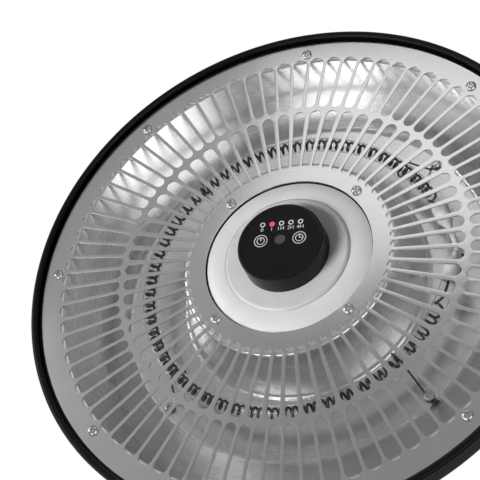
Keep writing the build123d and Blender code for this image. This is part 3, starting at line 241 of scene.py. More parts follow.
# %% [markdown]
# Every finish is a node tree that reads Object coordinates, which are metres in the frame, so a grain
# keeps its true scale and stays on its piece when the heater swings. The first two helpers make the
# shader, and a noise at a real grain size. Each finish then adds what it shows: a powder coat its
# orange peel, spun metal its rings, a plate its straight rolling marks.

# %% Finish helpers


def new_finish(name, colour, roughness, metallic=0.0, **constants):
    """A material with its Principled shader, and the Object coordinates that its patterns read."""
    material = bpy.data.materials.new(name)
    material.use_nodes = True
    tree = material.node_tree
    shader = tree.nodes["Principled BSDF"]
    shader.inputs["Base Color"].default_value = (*colour, 1.0)
    shader.inputs["Roughness"].default_value = roughness
    shader.inputs["Metallic"].default_value = metallic
    for label, value in constants.items():
        shader.inputs[label.replace("_", " ")].default_value = value
    where = tree.nodes.new("ShaderNodeTexCoord").outputs["Object"]
    return material, tree, shader, where


def grain(tree, where, size, detail=2.0, stretch=(1, 1, 1), seed=0.0):
    """Noise whose lumps are about a size in millimetres, drawn out along an axis by stretch."""
    scale = tuple(1 / s for s in stretch)
    wires = {"Vector": where, "Location": (seed, seed, seed), "Scale": scale}
    mapping = put(tree, "ShaderNodeMapping", wires)
    wires = {"Vector": mapping.outputs[0], "Scale": 1 / (size * MM), "Detail": detail}
    return put(tree, "ShaderNodeTexNoise", wires).outputs[0]


def vary_colour(tree, shader, share, first, second):
    """Wires a mix of two colours to the shader."""
    tree.links.new(blend_colours(tree, share, first, second), shader.inputs["Base Color"])


def vary_roughness(tree, shader, value, low, high):
    """Wires a value, stretched between two numbers, to the shader's roughness."""
    tree.links.new(spread(tree, value, low, high), shader.inputs["Roughness"])


def raise_bump(tree, shader, value, height, strength=1.0):
    """Bump of a height in millimetres."""
    wires = {"Height": value, "Distance": height * MM, "Strength": strength}
    tree.links.new(put(tree, "ShaderNodeBump", wires).outputs[0], shader.inputs["Normal"])


def ring_place(tree, where):
    """Coordinates round the axis: radius, angle and height."""
    parts = put(tree, "ShaderNodeSeparateXYZ", {0: where}).outputs
    square = reckon(tree, "MULTIPLY_ADD", parts[0], parts[0], reckon(tree, "MULTIPLY", parts[1], parts[1]))
    radius = reckon(tree, "SQRT", square)
    angle = reckon(tree, "ARCTAN2", parts[1], parts[0])
    return radius, angle, parts[2]


def painted(name, colour, roughness, peel=1.6, height=0.02, **constants):
    """Powder coat or enamel: nearly even, with orange peel and faint changes of gloss."""
    material, tree, shader, where = new_finish(name, colour, roughness, **constants)
    slow = grain(tree, where, 22.0, detail=3.0)
    vary_colour(tree, shader, slow, tuple(c * 0.9 for c in colour), tuple(c * 1.08 for c in colour))
    gloss = grain(tree, where, 6.0, detail=3.0, seed=3.0)
    vary_roughness(tree, shader, gloss, roughness * 0.85, roughness * 1.15)
    raise_bump(tree, shader, grain(tree, where, peel, detail=2.0), height, 0.35)
    return material


# %% [markdown]
# The metals come first. Real aluminium sheet is not one grey: the rolling leaves fine straight
# lines, handling leaves duller clouds, and spinning leaves rings. These are small changes of
# roughness and height, because that is what they are on the metal.

# %% Finishes: metals


def rolled_aluminium():
    """Flat sheet: straight rolling lines, and duller clouds where it was handled."""
    material, tree, shader, where = new_finish("rolled_aluminium", (0.72, 0.72, 0.725), 0.34, metallic=1.0)
    clouds = grain(tree, where, 45.0, detail=4.0)
    lines = grain(tree, where, 0.35, detail=2.0, stretch=(60, 1, 1))
    vary_colour(tree, shader, clouds, (0.68, 0.68, 0.685), (0.78, 0.78, 0.785))
    both = reckon(tree, "MULTIPLY_ADD", lines, 0.7, reckon(tree, "MULTIPLY", clouds, 0.3))
    vary_roughness(tree, shader, both, 0.12, 0.27)
    raise_bump(tree, shader, lines, 0.01, 0.3)
    return material


def spun_aluminium(name="spun_aluminium", base=0.86, rough=(0.24, 0.32)):
    """Bright spun sheet: fine and wide rings round the axis, as the spinner's tool leaves them."""
    material, tree, shader, where = new_finish(name, (base, base, base), 0.16, metallic=1.0)
    radius, angle, height = ring_place(tree, where)
    # One radian counts as only 4 mm, which draws the noise out into rings
    along = reckon(tree, "MULTIPLY", angle, 4 * MM)
    ring = put(tree, "ShaderNodeCombineXYZ", {0: radius, 1: along, 2: height})
    fine = grain(tree, ring.outputs[0], 0.45, detail=3.0)
    wide = grain(tree, ring.outputs[0], 5.0, detail=2.0, seed=2.0)
    vary_colour(tree, shader, wide, (base * 0.96,) * 3, (base,) * 3)
    both = reckon(tree, "MULTIPLY_ADD", fine, 0.6, reckon(tree, "MULTIPLY", wide, 0.4))
    vary_roughness(tree, shader, both, *rough)
    raise_bump(tree, shader, fine, 0.003, 0.2)
    return material


def plated(name, colour=(0.66, 0.66, 0.67), roughness=0.24):
    """Small plated or blackened metal parts, a little duller in spots."""
    material, tree, shader, where = new_finish(name, colour, roughness, metallic=1.0)
    spots = grain(tree, where, 2.4, detail=3.0)
    vary_colour(tree, shader, spots, tuple(c * 0.86 for c in colour), colour)
    vary_roughness(tree, shader, spots, roughness * 0.8, roughness * 1.5)
    return material


finishes = {
    "grille_metal": rolled_aluminium(),
    "reflector_metal": spun_aluminium(),
    "shield_metal": spun_aluminium("shield_aluminium", 0.7, (0.3, 0.45)),
    "screw_steel": plated("nickel_screw", (0.78, 0.78, 0.78), 0.17),
    "plated_steel": plated("zinc_plate"),
    "clip_wire": plated("blued_wire", (0.13, 0.12, 0.12), 0.32),
    "contact_brass": plated("contact_brass", (0.78, 0.6, 0.3), 0.3),
}
print("metals", len(finishes))

# %% [markdown]
# The lamp has three finishes. Quartz is clear, and its wall is so thin that it hardly bends light, so
# its index is set low, and a coat on top gives back the shine that a low index takes away. The coil is
# sooty carbon, and the sleeves on the leads are woven glass.

# %% Finishes: the lamp


def lamp_quartz():
    """Clear, thin-walled quartz."""
    material, tree, shader, where = new_finish("lamp_quartz", (0.98, 0.98, 0.98), 0.0, IOR=1.08,
                                               Transmission_Weight=1.0, Coat_Weight=0.6)
    vary_roughness(tree, shader, grain(tree, where, 12.0, detail=2.0), 0.0, 0.03)
    return material


def carbon_coil():
    """The unlit heating wire: nearly black, with a sooty grain."""
    material, tree, shader, where = new_finish("carbon_coil", (0.012, 0.012, 0.012), 0.5)
    soot = grain(tree, where, 0.8, detail=3.0)
    vary_colour(tree, shader, soot, (0.008, 0.008, 0.008), (0.03, 0.03, 0.03))
    vary_roughness(tree, shader, soot, 0.4, 0.6)
    return material


def woven_sleeve():
    """The white glass-fibre sleeves on the lamp's leads."""
    material, tree, shader, where = new_finish("glass_fibre_sleeve", (0.9, 0.89, 0.86), 0.8)
    weave = grain(tree, where, 0.5, detail=1.0)
    vary_colour(tree, shader, weave, (0.74, 0.73, 0.7), (0.95, 0.94, 0.92))
    raise_bump(tree, shader, weave, 0.08, 0.6)
    return material


# %% [markdown]
# The one light that is on has a red middle that pales towards its rim. That is a pattern of distance
# from the lens's own centre, so a Mapping node moves the coordinates there first.

# %% Finishes: the lit lens
light_pitch, light_row = 7.46, -16.3
lit_radius, pale_radius = 0.9, 1.5


def glowing_lens():
    """The lit indicator: a deep red middle, and a paler ring where its glow fades."""
    material, tree, shader, where = new_finish("lit_lens", (0.3, 0.01, 0.012), 0.3, Emission_Strength=0.75)
    wires = {"Vector": where, "Location": (light_pitch * MM, -light_row * MM, 0)}
    centred = put(tree, "ShaderNodeMapping", wires).outputs[0]
    away = ring_place(tree, centred)[0]
    wires = {"Value": away, "From Min": lit_radius * MM, "From Max": pale_radius * MM}
    rim = put(tree, "ShaderNodeMapRange", wires, interpolation_type="SMOOTHSTEP").outputs["Result"]
    soft = grain(tree, where, 1.2, detail=1.0)
    red = blend_colours(tree, soft, (0.9, 0.004, 0.03), (1.0, 0.02, 0.05))
    tree.links.new(blend_colours(tree, rim, red, (0.75, 0.16, 0.19)), shader.inputs["Emission Color"])
    return material


# %% [markdown]
# Nearly everything else is paint, moulded plastic, ceramic or rubber. These differ in colour, in
# gloss, and in how coarse and how high their fine relief is, so one helper makes them. Each row gives
# the colour, the roughness, and the relief's grain and height in millimetres.

# %% Finishes: paint, plastics and ceramic
finishes.update({
    "shade_paint": painted("black_powder_coat", (0.004, 0.004, 0.0042), 0.3, 1.8, 0.012,
                           Specular_IOR_Level=0.18),
    "inner_paint": painted("inner_black", (0.012, 0.012, 0.012), 0.6),
    "dark_screw": plated("blackened_screw", (0.06, 0.06, 0.06), 0.35),
    "dish_white": painted("dish_enamel", (0.74, 0.74, 0.735), 0.34, 1.4, 0.012),
    "disc_white": painted("disc_enamel", (0.62, 0.62, 0.615), 0.38, 1.2, 0.008),
    "box_plastic": painted("box_plastic", (0.005, 0.005, 0.0052), 0.26, 0.7, 0.006, Specular_IOR_Level=0.22),
    "panel_gloss": painted("panel_film", (0.004, 0.004, 0.004), 0.4, 0.5, 0.003, Specular_IOR_Level=0.2),
    "lens_clear": painted("dark_lens", (0.03, 0.03, 0.032), 0.2, 0.6, 0.004),
    "lens_red": glowing_lens(),
    "ir_smoke": painted("smoked_window", (0.06, 0.06, 0.062), 0.35, 0.8, 0.004),
    "print_white": painted("white_print", (0.72, 0.72, 0.72), 0.5, 0.4, 0.002),
    "quartz": lamp_quartz(),
    "carbon": carbon_coil(),
    "steatite": painted("steatite", (0.86, 0.85, 0.82), 0.6, 0.5, 0.02),
    "sleeve_glass": woven_sleeve(),
    "seal_rubber": painted("black_rubber", (0.015, 0.015, 0.015), 0.65, 0.6, 0.03),
    "wool": painted("mineral_wool", (0.62, 0.58, 0.5), 0.95, 1.5, 0.4),
    "board_green": painted("board_green", (0.02, 0.16, 0.07), 0.35, 1.0, 0.01),
    "electronic_black": painted("moulded_case", (0.035, 0.035, 0.037), 0.5, 0.5, 0.02),
    "nylon_white": painted("natural_nylon", (0.7, 0.69, 0.64), 0.5, 0.8, 0.02),
    "lead_pvc": painted("lead_cover", (0.12, 0.03, 0.025), 0.45, 0.9, 0.02),
    "gland_plastic": painted("gland_plastic", (0.016, 0.016, 0.016), 0.48, 0.5, 0.02),
})
print("finishes", len(finishes))

# %% [markdown]
# The floor is pale and plainly lit. The camera and the mirrors see it a little brighter than it is, by
# an emission that asks Light Path who is looking, and that therefore lights nothing else.

# %% Finish: the floor
seen_glow, mirrored_glow = 0.5, 0.1


def pale_floor():
    """A pale floor that looks as bright as a lit one to the camera and to mirrors."""
    finish = painted("pale_floor", (0.8, 0.8, 0.8), 0.7, 8.0, 0.2)
    tree = finish.node_tree
    shader = tree.nodes["Principled BSDF"]
    shader.inputs["Emission Color"].default_value = (1, 1, 1, 1)
    asking = put(tree, "ShaderNodeLightPath").outputs
    mirror = reckon(tree, "MAXIMUM", asking["Is Glossy Ray"], asking["Is Transmission Ray"])
    mirror = reckon(tree, "MULTIPLY", mirror, mirrored_glow)
    glow = reckon(tree, "MULTIPLY_ADD", asking["Is Camera Ray"], seen_glow, mirror)
    tree.links.new(glow, shader.inputs["Emission Strength"])
    return finish


floor.data.materials.append(pale_floor())
print("floor finish", floor.data.materials[0].name)

# %% [markdown]
# Parts that keep their frame shape still need smooth shading: their meshes are loose triangles, which
# would show facets. A small geometry tree welds them, shades them smooth, and keeps an edge crisp
# wherever two faces meet at more than thirty degrees. It is a modifier, so the frame's own mesh is
# left as it is.

# %% Smooth the frame's own meshes
weld_gap = 0.002


def start_tree(name, sockets):
    """A geometry tree with named inputs and one geometry output; returns the tree and its inputs."""
    tree = bpy.data.node_groups.new(name, "GeometryNodeTree")
    kinds = {float: "NodeSocketFloat", int: "NodeSocketInt", "geometry": "NodeSocketGeometry",
             "material": "NodeSocketMaterial"}
    for label, kind in sockets.items():
        tree.interface.new_socket(label, in_out="INPUT", socket_type=kinds[kind])
    tree.interface.new_socket("Geometry", in_out="OUTPUT", socket_type="NodeSocketGeometry")
    given = tree.nodes.new("NodeGroupInput")
    return tree, {label: given.outputs[label] for label in sockets}


def run_tree(item, tree, values):
    """Puts a tree on an object as a modifier, with its named inputs set."""
    modifier = item.modifiers.new(tree.name, "NODES")
    modifier.node_group = tree
    for socket in tree.interface.items_tree:
        if socket.in_out == "INPUT" and socket.name in values:
            modifier[socket.identifier] = values[socket.name]


def smoothing_tree():
    """Welds loose triangles and shades them smooth, with an edge kept crisp past an angle."""
    tree, given = start_tree("weld_and_smooth", {"Geometry": "geometry", "Crisp Angle": float})
    wires = {"Geometry": given["Geometry"], "Distance": weld_gap * MM}
    welded = put(tree, "GeometryNodeMergeByDistance", wires)
    wires = {"Geometry": welded.outputs[0], "Shade Smooth": True}
    soft = put(tree, "GeometryNodeSetShadeSmooth", wires, domain="FACE")
    bend = put(tree, "GeometryNodeInputMeshEdgeAngle").outputs["Unsigned Angle"]
    wires = {0: bend, 1: given["Crisp Angle"]}
    crisp = put(tree, "FunctionNodeCompare", wires, data_type="FLOAT", operation="GREATER_THAN")
    wires = {"Geometry": soft.outputs[0], "Selection": crisp.outputs[0], "Shade Smooth": False}
    edged = put(tree, "GeometryNodeSetShadeSmooth", wires, domain="EDGE")
    put(tree, "NodeGroupOutput", {0: edged.outputs[0]})
    return tree


smoothing = smoothing_tree()
crisp_angle = math.radians(30)
slot_of = {row["node"]: row["material_slot"] for row in frame["record"]["subparts"]}
for name, node in frame["nodes"].items():
    node.data.materials.clear()
    node.data.materials.append(finishes[slot_of[name]])
    run_tree(node, smoothing, {"Crisp Angle": crisp_angle})
print("smoothed", len(frame["nodes"]), "nodes")

# %% [markdown]
# Most of the heater is spun or turned, so its own pieces are outlines swept round the axis. An outline
# is a short list of corners with a bend radius at each, as a metal spinner would mark it. One helper
# rounds the corners, and two more give a line of sheet its thickness. Smooth shading blends the
# directions of neighbouring faces, which would bend the mirror image in a straight wall, so a last
# helper keeps that blending close to the bends.

# %% Outlines


def rounded(corners, radii, steps=5):
    """A closed outline whose corners become arcs of the given radii."""
    points = []
    for i, corner in enumerate(corners):
        here, before, after = Vector(corner), Vector(corners[i - 1]), Vector(corners[(i + 1) % len(corners)])
        if not radii[i]:
            points.append(here)
            continue
        back, ahead = (before - here).normalized(), (after - here).normalized()
        half = back.angle(ahead) / 2
        centre = here + (back + ahead).normalized() * (radii[i] / math.sin(half))
        start = here + back * (radii[i] / math.tan(half)) - centre
        turn = start.angle_signed(here + ahead * (radii[i] / math.tan(half)) - centre)
        for k in range(steps + 1):
            points.append(centre + Matrix.Rotation(-turn * k / steps, 2) @ start)
    return points


def left_of(points, distance):
    """The corners of a line moved to its left, keeping its sides parallel."""
    moved = []
    normals = []
    for (x0, y0), (x1, y1) in zip(points, points[1:]):
        length = math.hypot(x1 - x0, y1 - y0)
        normals.append((-(y1 - y0) / length, (x1 - x0) / length))
    for i, (x, y) in enumerate(points):
        before = normals[max(i - 1, 0)]
        after = normals[min(i, len(normals) - 1)]
        share = distance / (1 + before[0] * after[0] + before[1] * after[1])
        moved.append((x + (before[0] + after[0]) * share, y + (before[1] + after[1]) * share))
    return moved


def sheet_outline(points, bends, sheet):
    """The outline of a bent sheet that lies on the left of a line, with its bends."""
    far = left_of(points, sheet)
    far_bends = []
    for i, bend in enumerate(bends):
        (x0, y0), (x1, y1), (x2, y2) = points[i:i + 3]
        turns_left = (x1 - x0) * (y2 - y1) - (y1 - y0) * (x2 - x1) > 0
        far_bends.append(bend - sheet if turns_left else bend + sheet)
    edge = sheet * 0.3
    return rounded(list(points) + far[::-1], [edge] + list(bends) + [edge, edge] + far_bends[::-1] + [edge])


def held_flat(outline, gap=0.6):
    """Adds a point near both ends of each long straight, so that the bends don't tint its shading."""
    points = []
    for here, after in zip(outline, [*outline[1:], outline[0]]):
        here, after = Vector(here), Vector(after)
        points.append(here)
        length = (after - here).length
        if length > 4 * gap:
            step = (after - here) * (gap / length)
            points += [here + step, after - step]
    return points


# %% [markdown]
# Spinning repeats the outline round the axis and joins each copy to the next. The mesh is then cleaned
# up: doubles merged, faces turned outwards, and edges kept crisp where the outline has a real corner.
# Dressing a piece gives it its finish and its body, and hides the frame's node that it stands for.

# %% Spinning and dressing


def new_piece(name, mesh):
    """An object with a mesh, put in the scene."""
    piece = bpy.data.objects.new(name, mesh)
    scene.collection.objects.link(piece)
    return piece


def made_mesh(item):
    """A plain copy of the mesh that an object's modifiers or its font make; then removes the object."""
    mesh = bpy.data.meshes.new_from_object(item.evaluated_get(bpy.context.evaluated_depsgraph_get()))
    bpy.data.objects.remove(item)
    return mesh


def tidy_mesh(mesh, crisp=30.0):
    """Merges doubles, turns all faces outwards and shades smooth with crisp edges."""
    work = bmesh.new()
    work.from_mesh(mesh)
    bmesh.ops.remove_doubles(work, verts=work.verts, dist=weld_gap * MM)
    bmesh.ops.recalc_face_normals(work, faces=work.faces)
    work.to_mesh(mesh)
    work.free()
    mesh.shade_smooth()
    mesh.set_sharp_from_angle(angle=math.radians(crisp))
    return mesh


def spin(name, outline, steps=192):
    """Sweeps a closed outline of radius and height, in millimetres, round the heater's axis."""
    vertices = [polar(radius, 360 * k / steps, height) for k in range(steps) for radius, height in outline]
    count = len(outline)
    faces = []
    for k in range(steps):
        this, following = k * count, (k + 1) % steps * count
        for i in range(count):
            j = (i + 1) % count
            faces.append((this + i, this + j, following + j, following + i))
    mesh = bpy.data.meshes.new(name)
    mesh.from_pydata(vertices, [], faces)
    return new_piece(name, tidy_mesh(mesh))


def dress(piece, slot_name, *nodes, body="heater", finish=None):
    """Gives a piece its finish, chosen by slot name, puts it under its body, and hides the frame's nodes that
    it stands for.
    """
    piece.data.materials.clear()
    piece.data.materials.append(finishes[finish or slot_name])
    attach(piece, body)
    if nodes:
        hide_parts(*nodes)
    print(piece.name, len(piece.data.polygons), "faces")
    return piece


# %% [markdown]
# The reflector is a trough spun from thin bright aluminium. Its flat roof sits over the lamp and its
# two walls slope out to the grille. In the frame it is made of large facets, which a mirror finish
# would show, so it is spun again here with many more steps, and its straight walls are held flat.

# %% Reflector
sheet = 1.2
reflector_sheet = 0.8
flange_bend, fold_round = 3.0, 6.0
reflector_line = [(69.0, sheet), (84.0, sheet), (97.0, 47.0), (149.0, 47.0), (187.4, sheet), (205.0, sheet)]
reflector_bends = [flange_bend, fold_round, fold_round, flange_bend]
reflector_outline = held_flat(sheet_outline(reflector_line, reflector_bends, reflector_sheet))
reflector = spin("reflector_bowl", reflector_outline, steps=288)
dress(reflector, "reflector_metal", "reflector")

# %% [markdown]
# The shade is one deep spun dome with a rolled bead at its rim. Its side is a single large arc that
# runs into the straight skirt and into the flat top through rounded corners. The corners' centres
# follow from where both lines are touched at once, so they are worked out instead of guessed.

# %% Shade
rim_radius, bead_radius, bead_height = 212.5, 2.6, -3.2
shade_sheet, shoulder_height, land_height, land_radius = 1.2, 17.0, 112.0, 66.0
mouth_radius, shoulder_round, land_round = 30.0, 12.0, 8.0
skirt_radius = rim_radius - bead_radius + shade_sheet / 2
rise = shoulder_height - land_height
arc_height = (skirt_radius**2 + shoulder_height**2 - land_radius**2 - land_height**2) / (2 * rise)
arc_radius = math.hypot(skirt_radius, shoulder_height - arc_height)


def arc_points(centre, radius, start, end, steps):
    """Points on an arc in the outline's plane, angles in degrees."""
    return [
        (centre[0] + radius * math.cos(math.radians(start + (end - start) * k / steps)),
         centre[1] + radius * math.sin(math.radians(start + (end - start) * k / steps)))
        for k in range(steps + 1)
    ]


def dome_line(inset, shoulder, corner):
    """The dome's side from the skirt up to the flat top, moved inwards by an inset."""
    radius = arc_radius - inset
    skirt, top = skirt_radius - inset, land_height - inset
    low = (skirt - shoulder, arc_height + math.sqrt((radius - shoulder)**2 - (skirt - shoulder)**2))
    high = (math.sqrt((radius - corner)**2 - (top - corner - arc_height)**2), top - corner)
    low_end = math.degrees(math.atan2(low[1] - arc_height, low[0]))
    high_end = math.degrees(math.atan2(high[1] - arc_height, high[0]))
    return (
        arc_points(low, shoulder, 0, low_end, 6)
        + arc_points((0, arc_height), radius, low_end, high_end, 24)[1:-1]
        + arc_points(high, corner, high_end, 90, 5)
    )


bead_lap = math.degrees(math.acos(shade_sheet / 2 / bead_radius))
bead_centre = (rim_radius - bead_radius, bead_height)
bead = arc_points(bead_centre, bead_radius, bead_lap, -180 - bead_lap, 26)
inside = dome_line(shade_sheet, shoulder_round - shade_sheet, land_round - shade_sheet)
outside = dome_line(0, shoulder_round, land_round)
shade_outline = bead + inside + [(mouth_radius, land_height - shade_sheet), (mouth_radius, land_height)]
shade = spin("spun_shade", shade_outline + outside[::-1], steps=256)
dress(shade, "shade_paint", "shade")

# %% [markdown]
# The grille is one flat plate with two rings of long slots, 140 in all. Cutting them by hand or by
# booleans would be slow and leave poor edges. A geometry tree does what the press does instead: it
# draws one slot, repeats it round the axis, fills the plate between the outlines, and sweeps a small
# rounded edge along every outline, so each slot catches the light as a pressed edge does.

# %% Grille: helpers for geometry trees


def end_tree(tree, geometry, material=None):
    """Closes a tree: instances made real and, where a material is given, that material set."""
    real = put(tree, "GeometryNodeRealizeInstances", {"Geometry": geometry}).outputs[0]
    if material is not None:
        real = put(tree, "GeometryNodeSetMaterial", {"Geometry": real, "Material": material}).outputs[0]
    put(tree, "NodeGroupOutput", {0: real})


def use_tree(tree, group, wires):
    """A group node inside another tree."""
    return put(tree, "GeometryNodeGroup", wires, node_tree=group).outputs[0]


def grow(name, tree, values, start=None):
    """Runs a tree once, on a starting mesh if one is given, and keeps what it made as a plain mesh."""
    carrier = bpy.data.objects.new("carrier", start or bpy.data.meshes.new("carrier"))
    scene.collection.objects.link(carrier)
    run_tree(carrier, tree, values)
    mesh = made_mesh(carrier)
    mesh.name = name
    return new_piece(name, mesh)


def around_tree():
    """Repeats a geometry round the Z axis, the first one turned by an angle."""
    tree, given = start_tree("around_axis", {"Item": "geometry", "Count": int, "Turn": float})
    centres = put(tree, "GeometryNodePoints", {"Count": given["Count"]}).outputs[0]
    index = tree.nodes.new("GeometryNodeInputIndex").outputs[0]
    pitch = reckon(tree, "DIVIDE", 2 * math.pi, given["Count"])
    angle = reckon(tree, "MULTIPLY_ADD", index, pitch, given["Turn"])
    turn = put(tree, "ShaderNodeCombineXYZ", {2: angle}).outputs[0]
    wires = {"Points": centres, "Instance": given["Item"], "Rotation": turn}
    end_tree(tree, put(tree, "GeometryNodeInstanceOnPoints", wires).outputs[0])
    return tree


around = around_tree()
slot_labels = ["Start", "End", "Start Width", "End Width", "Turn"]


def slot_tree():
    """One ring of radial slots with round ends, each as wide at its ends as given."""
    tree, given = start_tree("slot_ring", {"Count": int, **{label: float for label in slot_labels}})
    length = reckon(tree, "SUBTRACT", given["End"], given["Start"])
    wires = {"Height": length, "Bottom Width": given["Start Width"], "Top Width": given["End Width"],
             "Offset": 0.0}
    box = put(tree, "GeometryNodeCurvePrimitiveQuadrilateral", wires, mode="TRAPEZOID").outputs[0]
    wires = {"Curve": box, "Count": 6, "Radius": 1.0, "Limit Radius": True}
    slot = put(tree, "GeometryNodeFilletCurve", wires, mode="POLY").outputs[0]
    middle = reckon(tree, "MULTIPLY", reckon(tree, "ADD", given["Start"], given["End"]), 0.5)
    shift = put(tree, "ShaderNodeCombineXYZ", {0: middle}).outputs[0]
    wires = {"Geometry": slot, "Translation": shift, "Rotation": Euler((0, 0, -math.pi / 2))}
    slot = put(tree, "GeometryNodeTransform", wires).outputs[0]
    end_tree(tree, use_tree(tree, around, {"Item": slot, "Count": given["Count"], "Turn": given["Turn"]}))
    return tree


slots = slot_tree()
print("slot tree nodes", len(slots.nodes))

# %% [markdown]
# The plate's tree joins both slot rings, the hub's opening, the rim and the screw holes as outlines,
# and fills what lies between them.

# %% Grille: the plate


def plate_tree():
    """A flat plate between outlines, with a rounded edge along each of them."""
    labels = ["Plate Radius", "Hub Radius", "Sheet", "Edge Round", "Height"]
    sockets = {label: float for label in labels}
    for ring in ("Inner", "Outer"):
        sockets[f"{ring} Count"] = int
        sockets.update({f"{ring} {label}": float for label in slot_labels})
    for ring in ("Rim Screw", "Hub Screw"):
        sockets.update({f"{ring} Count": int, f"{ring} Circle": float, f"{ring} Turn": float})
    sockets.update({"Hole Radius": float, "Finish": "material"})
    tree, given = start_tree("slotted_plate", sockets)
    outlines = tree.nodes.new("GeometryNodeJoinGeometry")
    for ring in ("Inner", "Outer"):
        wires = {label: given[f"{ring} {label}"] for label in ["Count"] + slot_labels}
        tree.links.new(use_tree(tree, slots, wires), outlines.inputs[0])
    hub = put(tree, "GeometryNodeCurvePrimitiveCircle", {"Radius": given["Hub Radius"], "Resolution": 192})
    tree.links.new(hub.outputs[0], outlines.inputs[0])
    wires = {"Radius": given["Plate Radius"], "Resolution": 288}
    rim = put(tree, "GeometryNodeCurvePrimitiveCircle", wires).outputs[0]
    tree.links.new(put(tree, "GeometryNodeReverseCurve", {"Curve": rim}).outputs[0], outlines.inputs[0])
    for ring in ("Rim Screw", "Hub Screw"):
        wires = {"Radius": given["Hole Radius"], "Resolution": 20}
        hole = put(tree, "GeometryNodeCurvePrimitiveCircle", wires)
        shift = put(tree, "ShaderNodeCombineXYZ", {0: given[f"{ring} Circle"]}).outputs[0]
        hole = put(tree, "GeometryNodeTransform", {"Geometry": hole.outputs[0], "Translation": shift})
        wires = {"Item": hole.outputs[0], "Count": given[f"{ring} Count"], "Turn": given[f"{ring} Turn"]}
        tree.links.new(use_tree(tree, around, wires), outlines.inputs[0])
    outlines = outlines.outputs[0]

    # The faces stop short of each outline by the edge's round
    normal = tree.nodes.new("GeometryNodeInputNormal").outputs[0]
    step = put(tree, "ShaderNodeVectorMath", {0: normal, "Scale": given["Edge Round"]}, operation="SCALE")
    wires = {"Geometry": outlines, "Offset": step.outputs[0]}
    inset = put(tree, "GeometryNodeSetPosition", wires).outputs[0]
    flat = put(tree, "GeometryNodeFillCurve", {"Curve": inset}, mode="TRIANGLES").outputs[0]
    high = put(tree, "ShaderNodeCombineXYZ", {2: given["Sheet"]}).outputs[0]
    top = put(tree, "GeometryNodeTransform", {"Geometry": flat, "Translation": high}).outputs[0]
    bottom = put(tree, "GeometryNodeFlipFaces", {"Mesh": flat}).outputs[0]

    # The edge: one half of an oval, from one face of the sheet round to the other
    line = put(tree, "GeometryNodeCurvePrimitiveLine", {"End": (0, 0, 1)}).outputs[0]
    line = put(tree, "GeometryNodeResampleCurve", {"Curve": line, "Count": 7}, mode="COUNT").outputs[0]
    share = reckon(tree, "MULTIPLY", tree.nodes.new("GeometryNodeSplineParameter").outputs["Factor"], math.pi)
    bulge = reckon(tree, "SUBTRACT", 1.0, reckon(tree, "SINE", share))
    drop = reckon(tree, "MULTIPLY", reckon(tree, "SUBTRACT", reckon(tree, "COSINE", share), 1.0), 0.5)
    oval = put(tree, "ShaderNodeCombineXYZ", {
        0: reckon(tree, "MULTIPLY", bulge, given["Edge Round"]),
        1: reckon(tree, "MULTIPLY", drop, given["Sheet"])}).outputs[0]
    profile = put(tree, "GeometryNodeSetPosition", {"Geometry": line, "Position": oval}).outputs[0]
    wall = put(tree, "GeometryNodeCurveToMesh", {"Curve": outlines, "Profile Curve": profile}).outputs[0]
    whole = tree.nodes.new("GeometryNodeJoinGeometry")
    for piece in (bottom, top, wall):
        tree.links.new(piece, whole.inputs[0])
    wires = {"Geometry": whole.outputs[0], "Distance": 2 * weld_gap * MM}
    welded = put(tree, "GeometryNodeMergeByDistance", wires).outputs[0]
    lift = put(tree, "ShaderNodeCombineXYZ", {2: given["Height"]}).outputs[0]
    wires = {"Geometry": welded, "Translation": lift}
    end_tree(tree, put(tree, "GeometryNodeTransform", wires).outputs[0], given["Finish"])
    return tree


# %% [markdown]
# On the real plate it is the bars between the slots whose width is plain to see: the inner ones grow a
# little outwards, and the outer ones stay even. The slots' widths follow from them. A slot's round end
# begins half a width inside its tip, so a first guess at the widths is used once to place the ends.
# Each ring is given by where its slots start and end, how wide a bar is at those two places, and the
# angle of its first bar in degrees.

# %% Grille: sizes and making


def slot_widths(start, end, bar_start, bar_end, count):
    """Widths of a slot at its two ends, where the bars beside it are as wide as given."""
    pitch = 2 * math.pi / count
    first, last = pitch * start - bar_start, pitch * end - bar_end
    first, last = pitch * (start + first / 2) - bar_start, pitch * (end - last / 2) - bar_end
    growth = (last - first) / (end - start - (first + last) / 2)
    return first - growth * first / 2, last + growth * last / 2


hub_hole, plate_radius, screw_hole, edge_round = 66.0, 205.0, 2.25, 0.15
rim_screws, rim_screw_circle = 8, 194.2
hub_screws, hub_screw_circle, hub_screw_turn = 4, 72.2, 45.0
slot_rings = {
    "Inner": {"count": 60, "start": 79.2, "end": 134.5, "bars": (2.6, 3.9), "first_bar": 2.45},
    "Outer": {"count": 80, "start": 138.3, "end": 189.5, "bars": (2.7, 2.7), "first_bar": 0.6},
}

plate_values = {
    "Plate Radius": plate_radius * MM, "Hub Radius": hub_hole * MM, "Sheet": sheet * MM,
    "Edge Round": edge_round * MM, "Height": face_z, "Hole Radius": screw_hole * MM,
    "Rim Screw Count": rim_screws, "Rim Screw Circle": rim_screw_circle * MM, "Rim Screw Turn": 0.0,
    "Hub Screw Count": hub_screws, "Hub Screw Circle": hub_screw_circle * MM,
    "Hub Screw Turn": math.radians(hub_screw_turn), "Finish": finishes["grille_metal"],
}
for name, ring in slot_rings.items():
    widths = slot_widths(ring["start"], ring["end"], *ring["bars"], ring["count"])
    ring_values = {
        "Count": ring["count"], "Start": ring["start"] * MM, "End": ring["end"] * MM,
        "Start Width": widths[0] * MM, "End Width": widths[1] * MM,
        "Turn": math.radians(ring["first_bar"] + 180 / ring["count"]),
    }
    plate_values.update({f"{name} {label}": value for label, value in ring_values.items()})
    print(name, "slots", [round(width, 2) for width in widths], "mm wide")
grille = grow("slotted_grille", plate_tree(), plate_values)
tidy_mesh(grille.data)
grille.modifiers.new("flat_faces", "WEIGHTED_NORMAL")
dress(grille, "grille_metal", "grille")

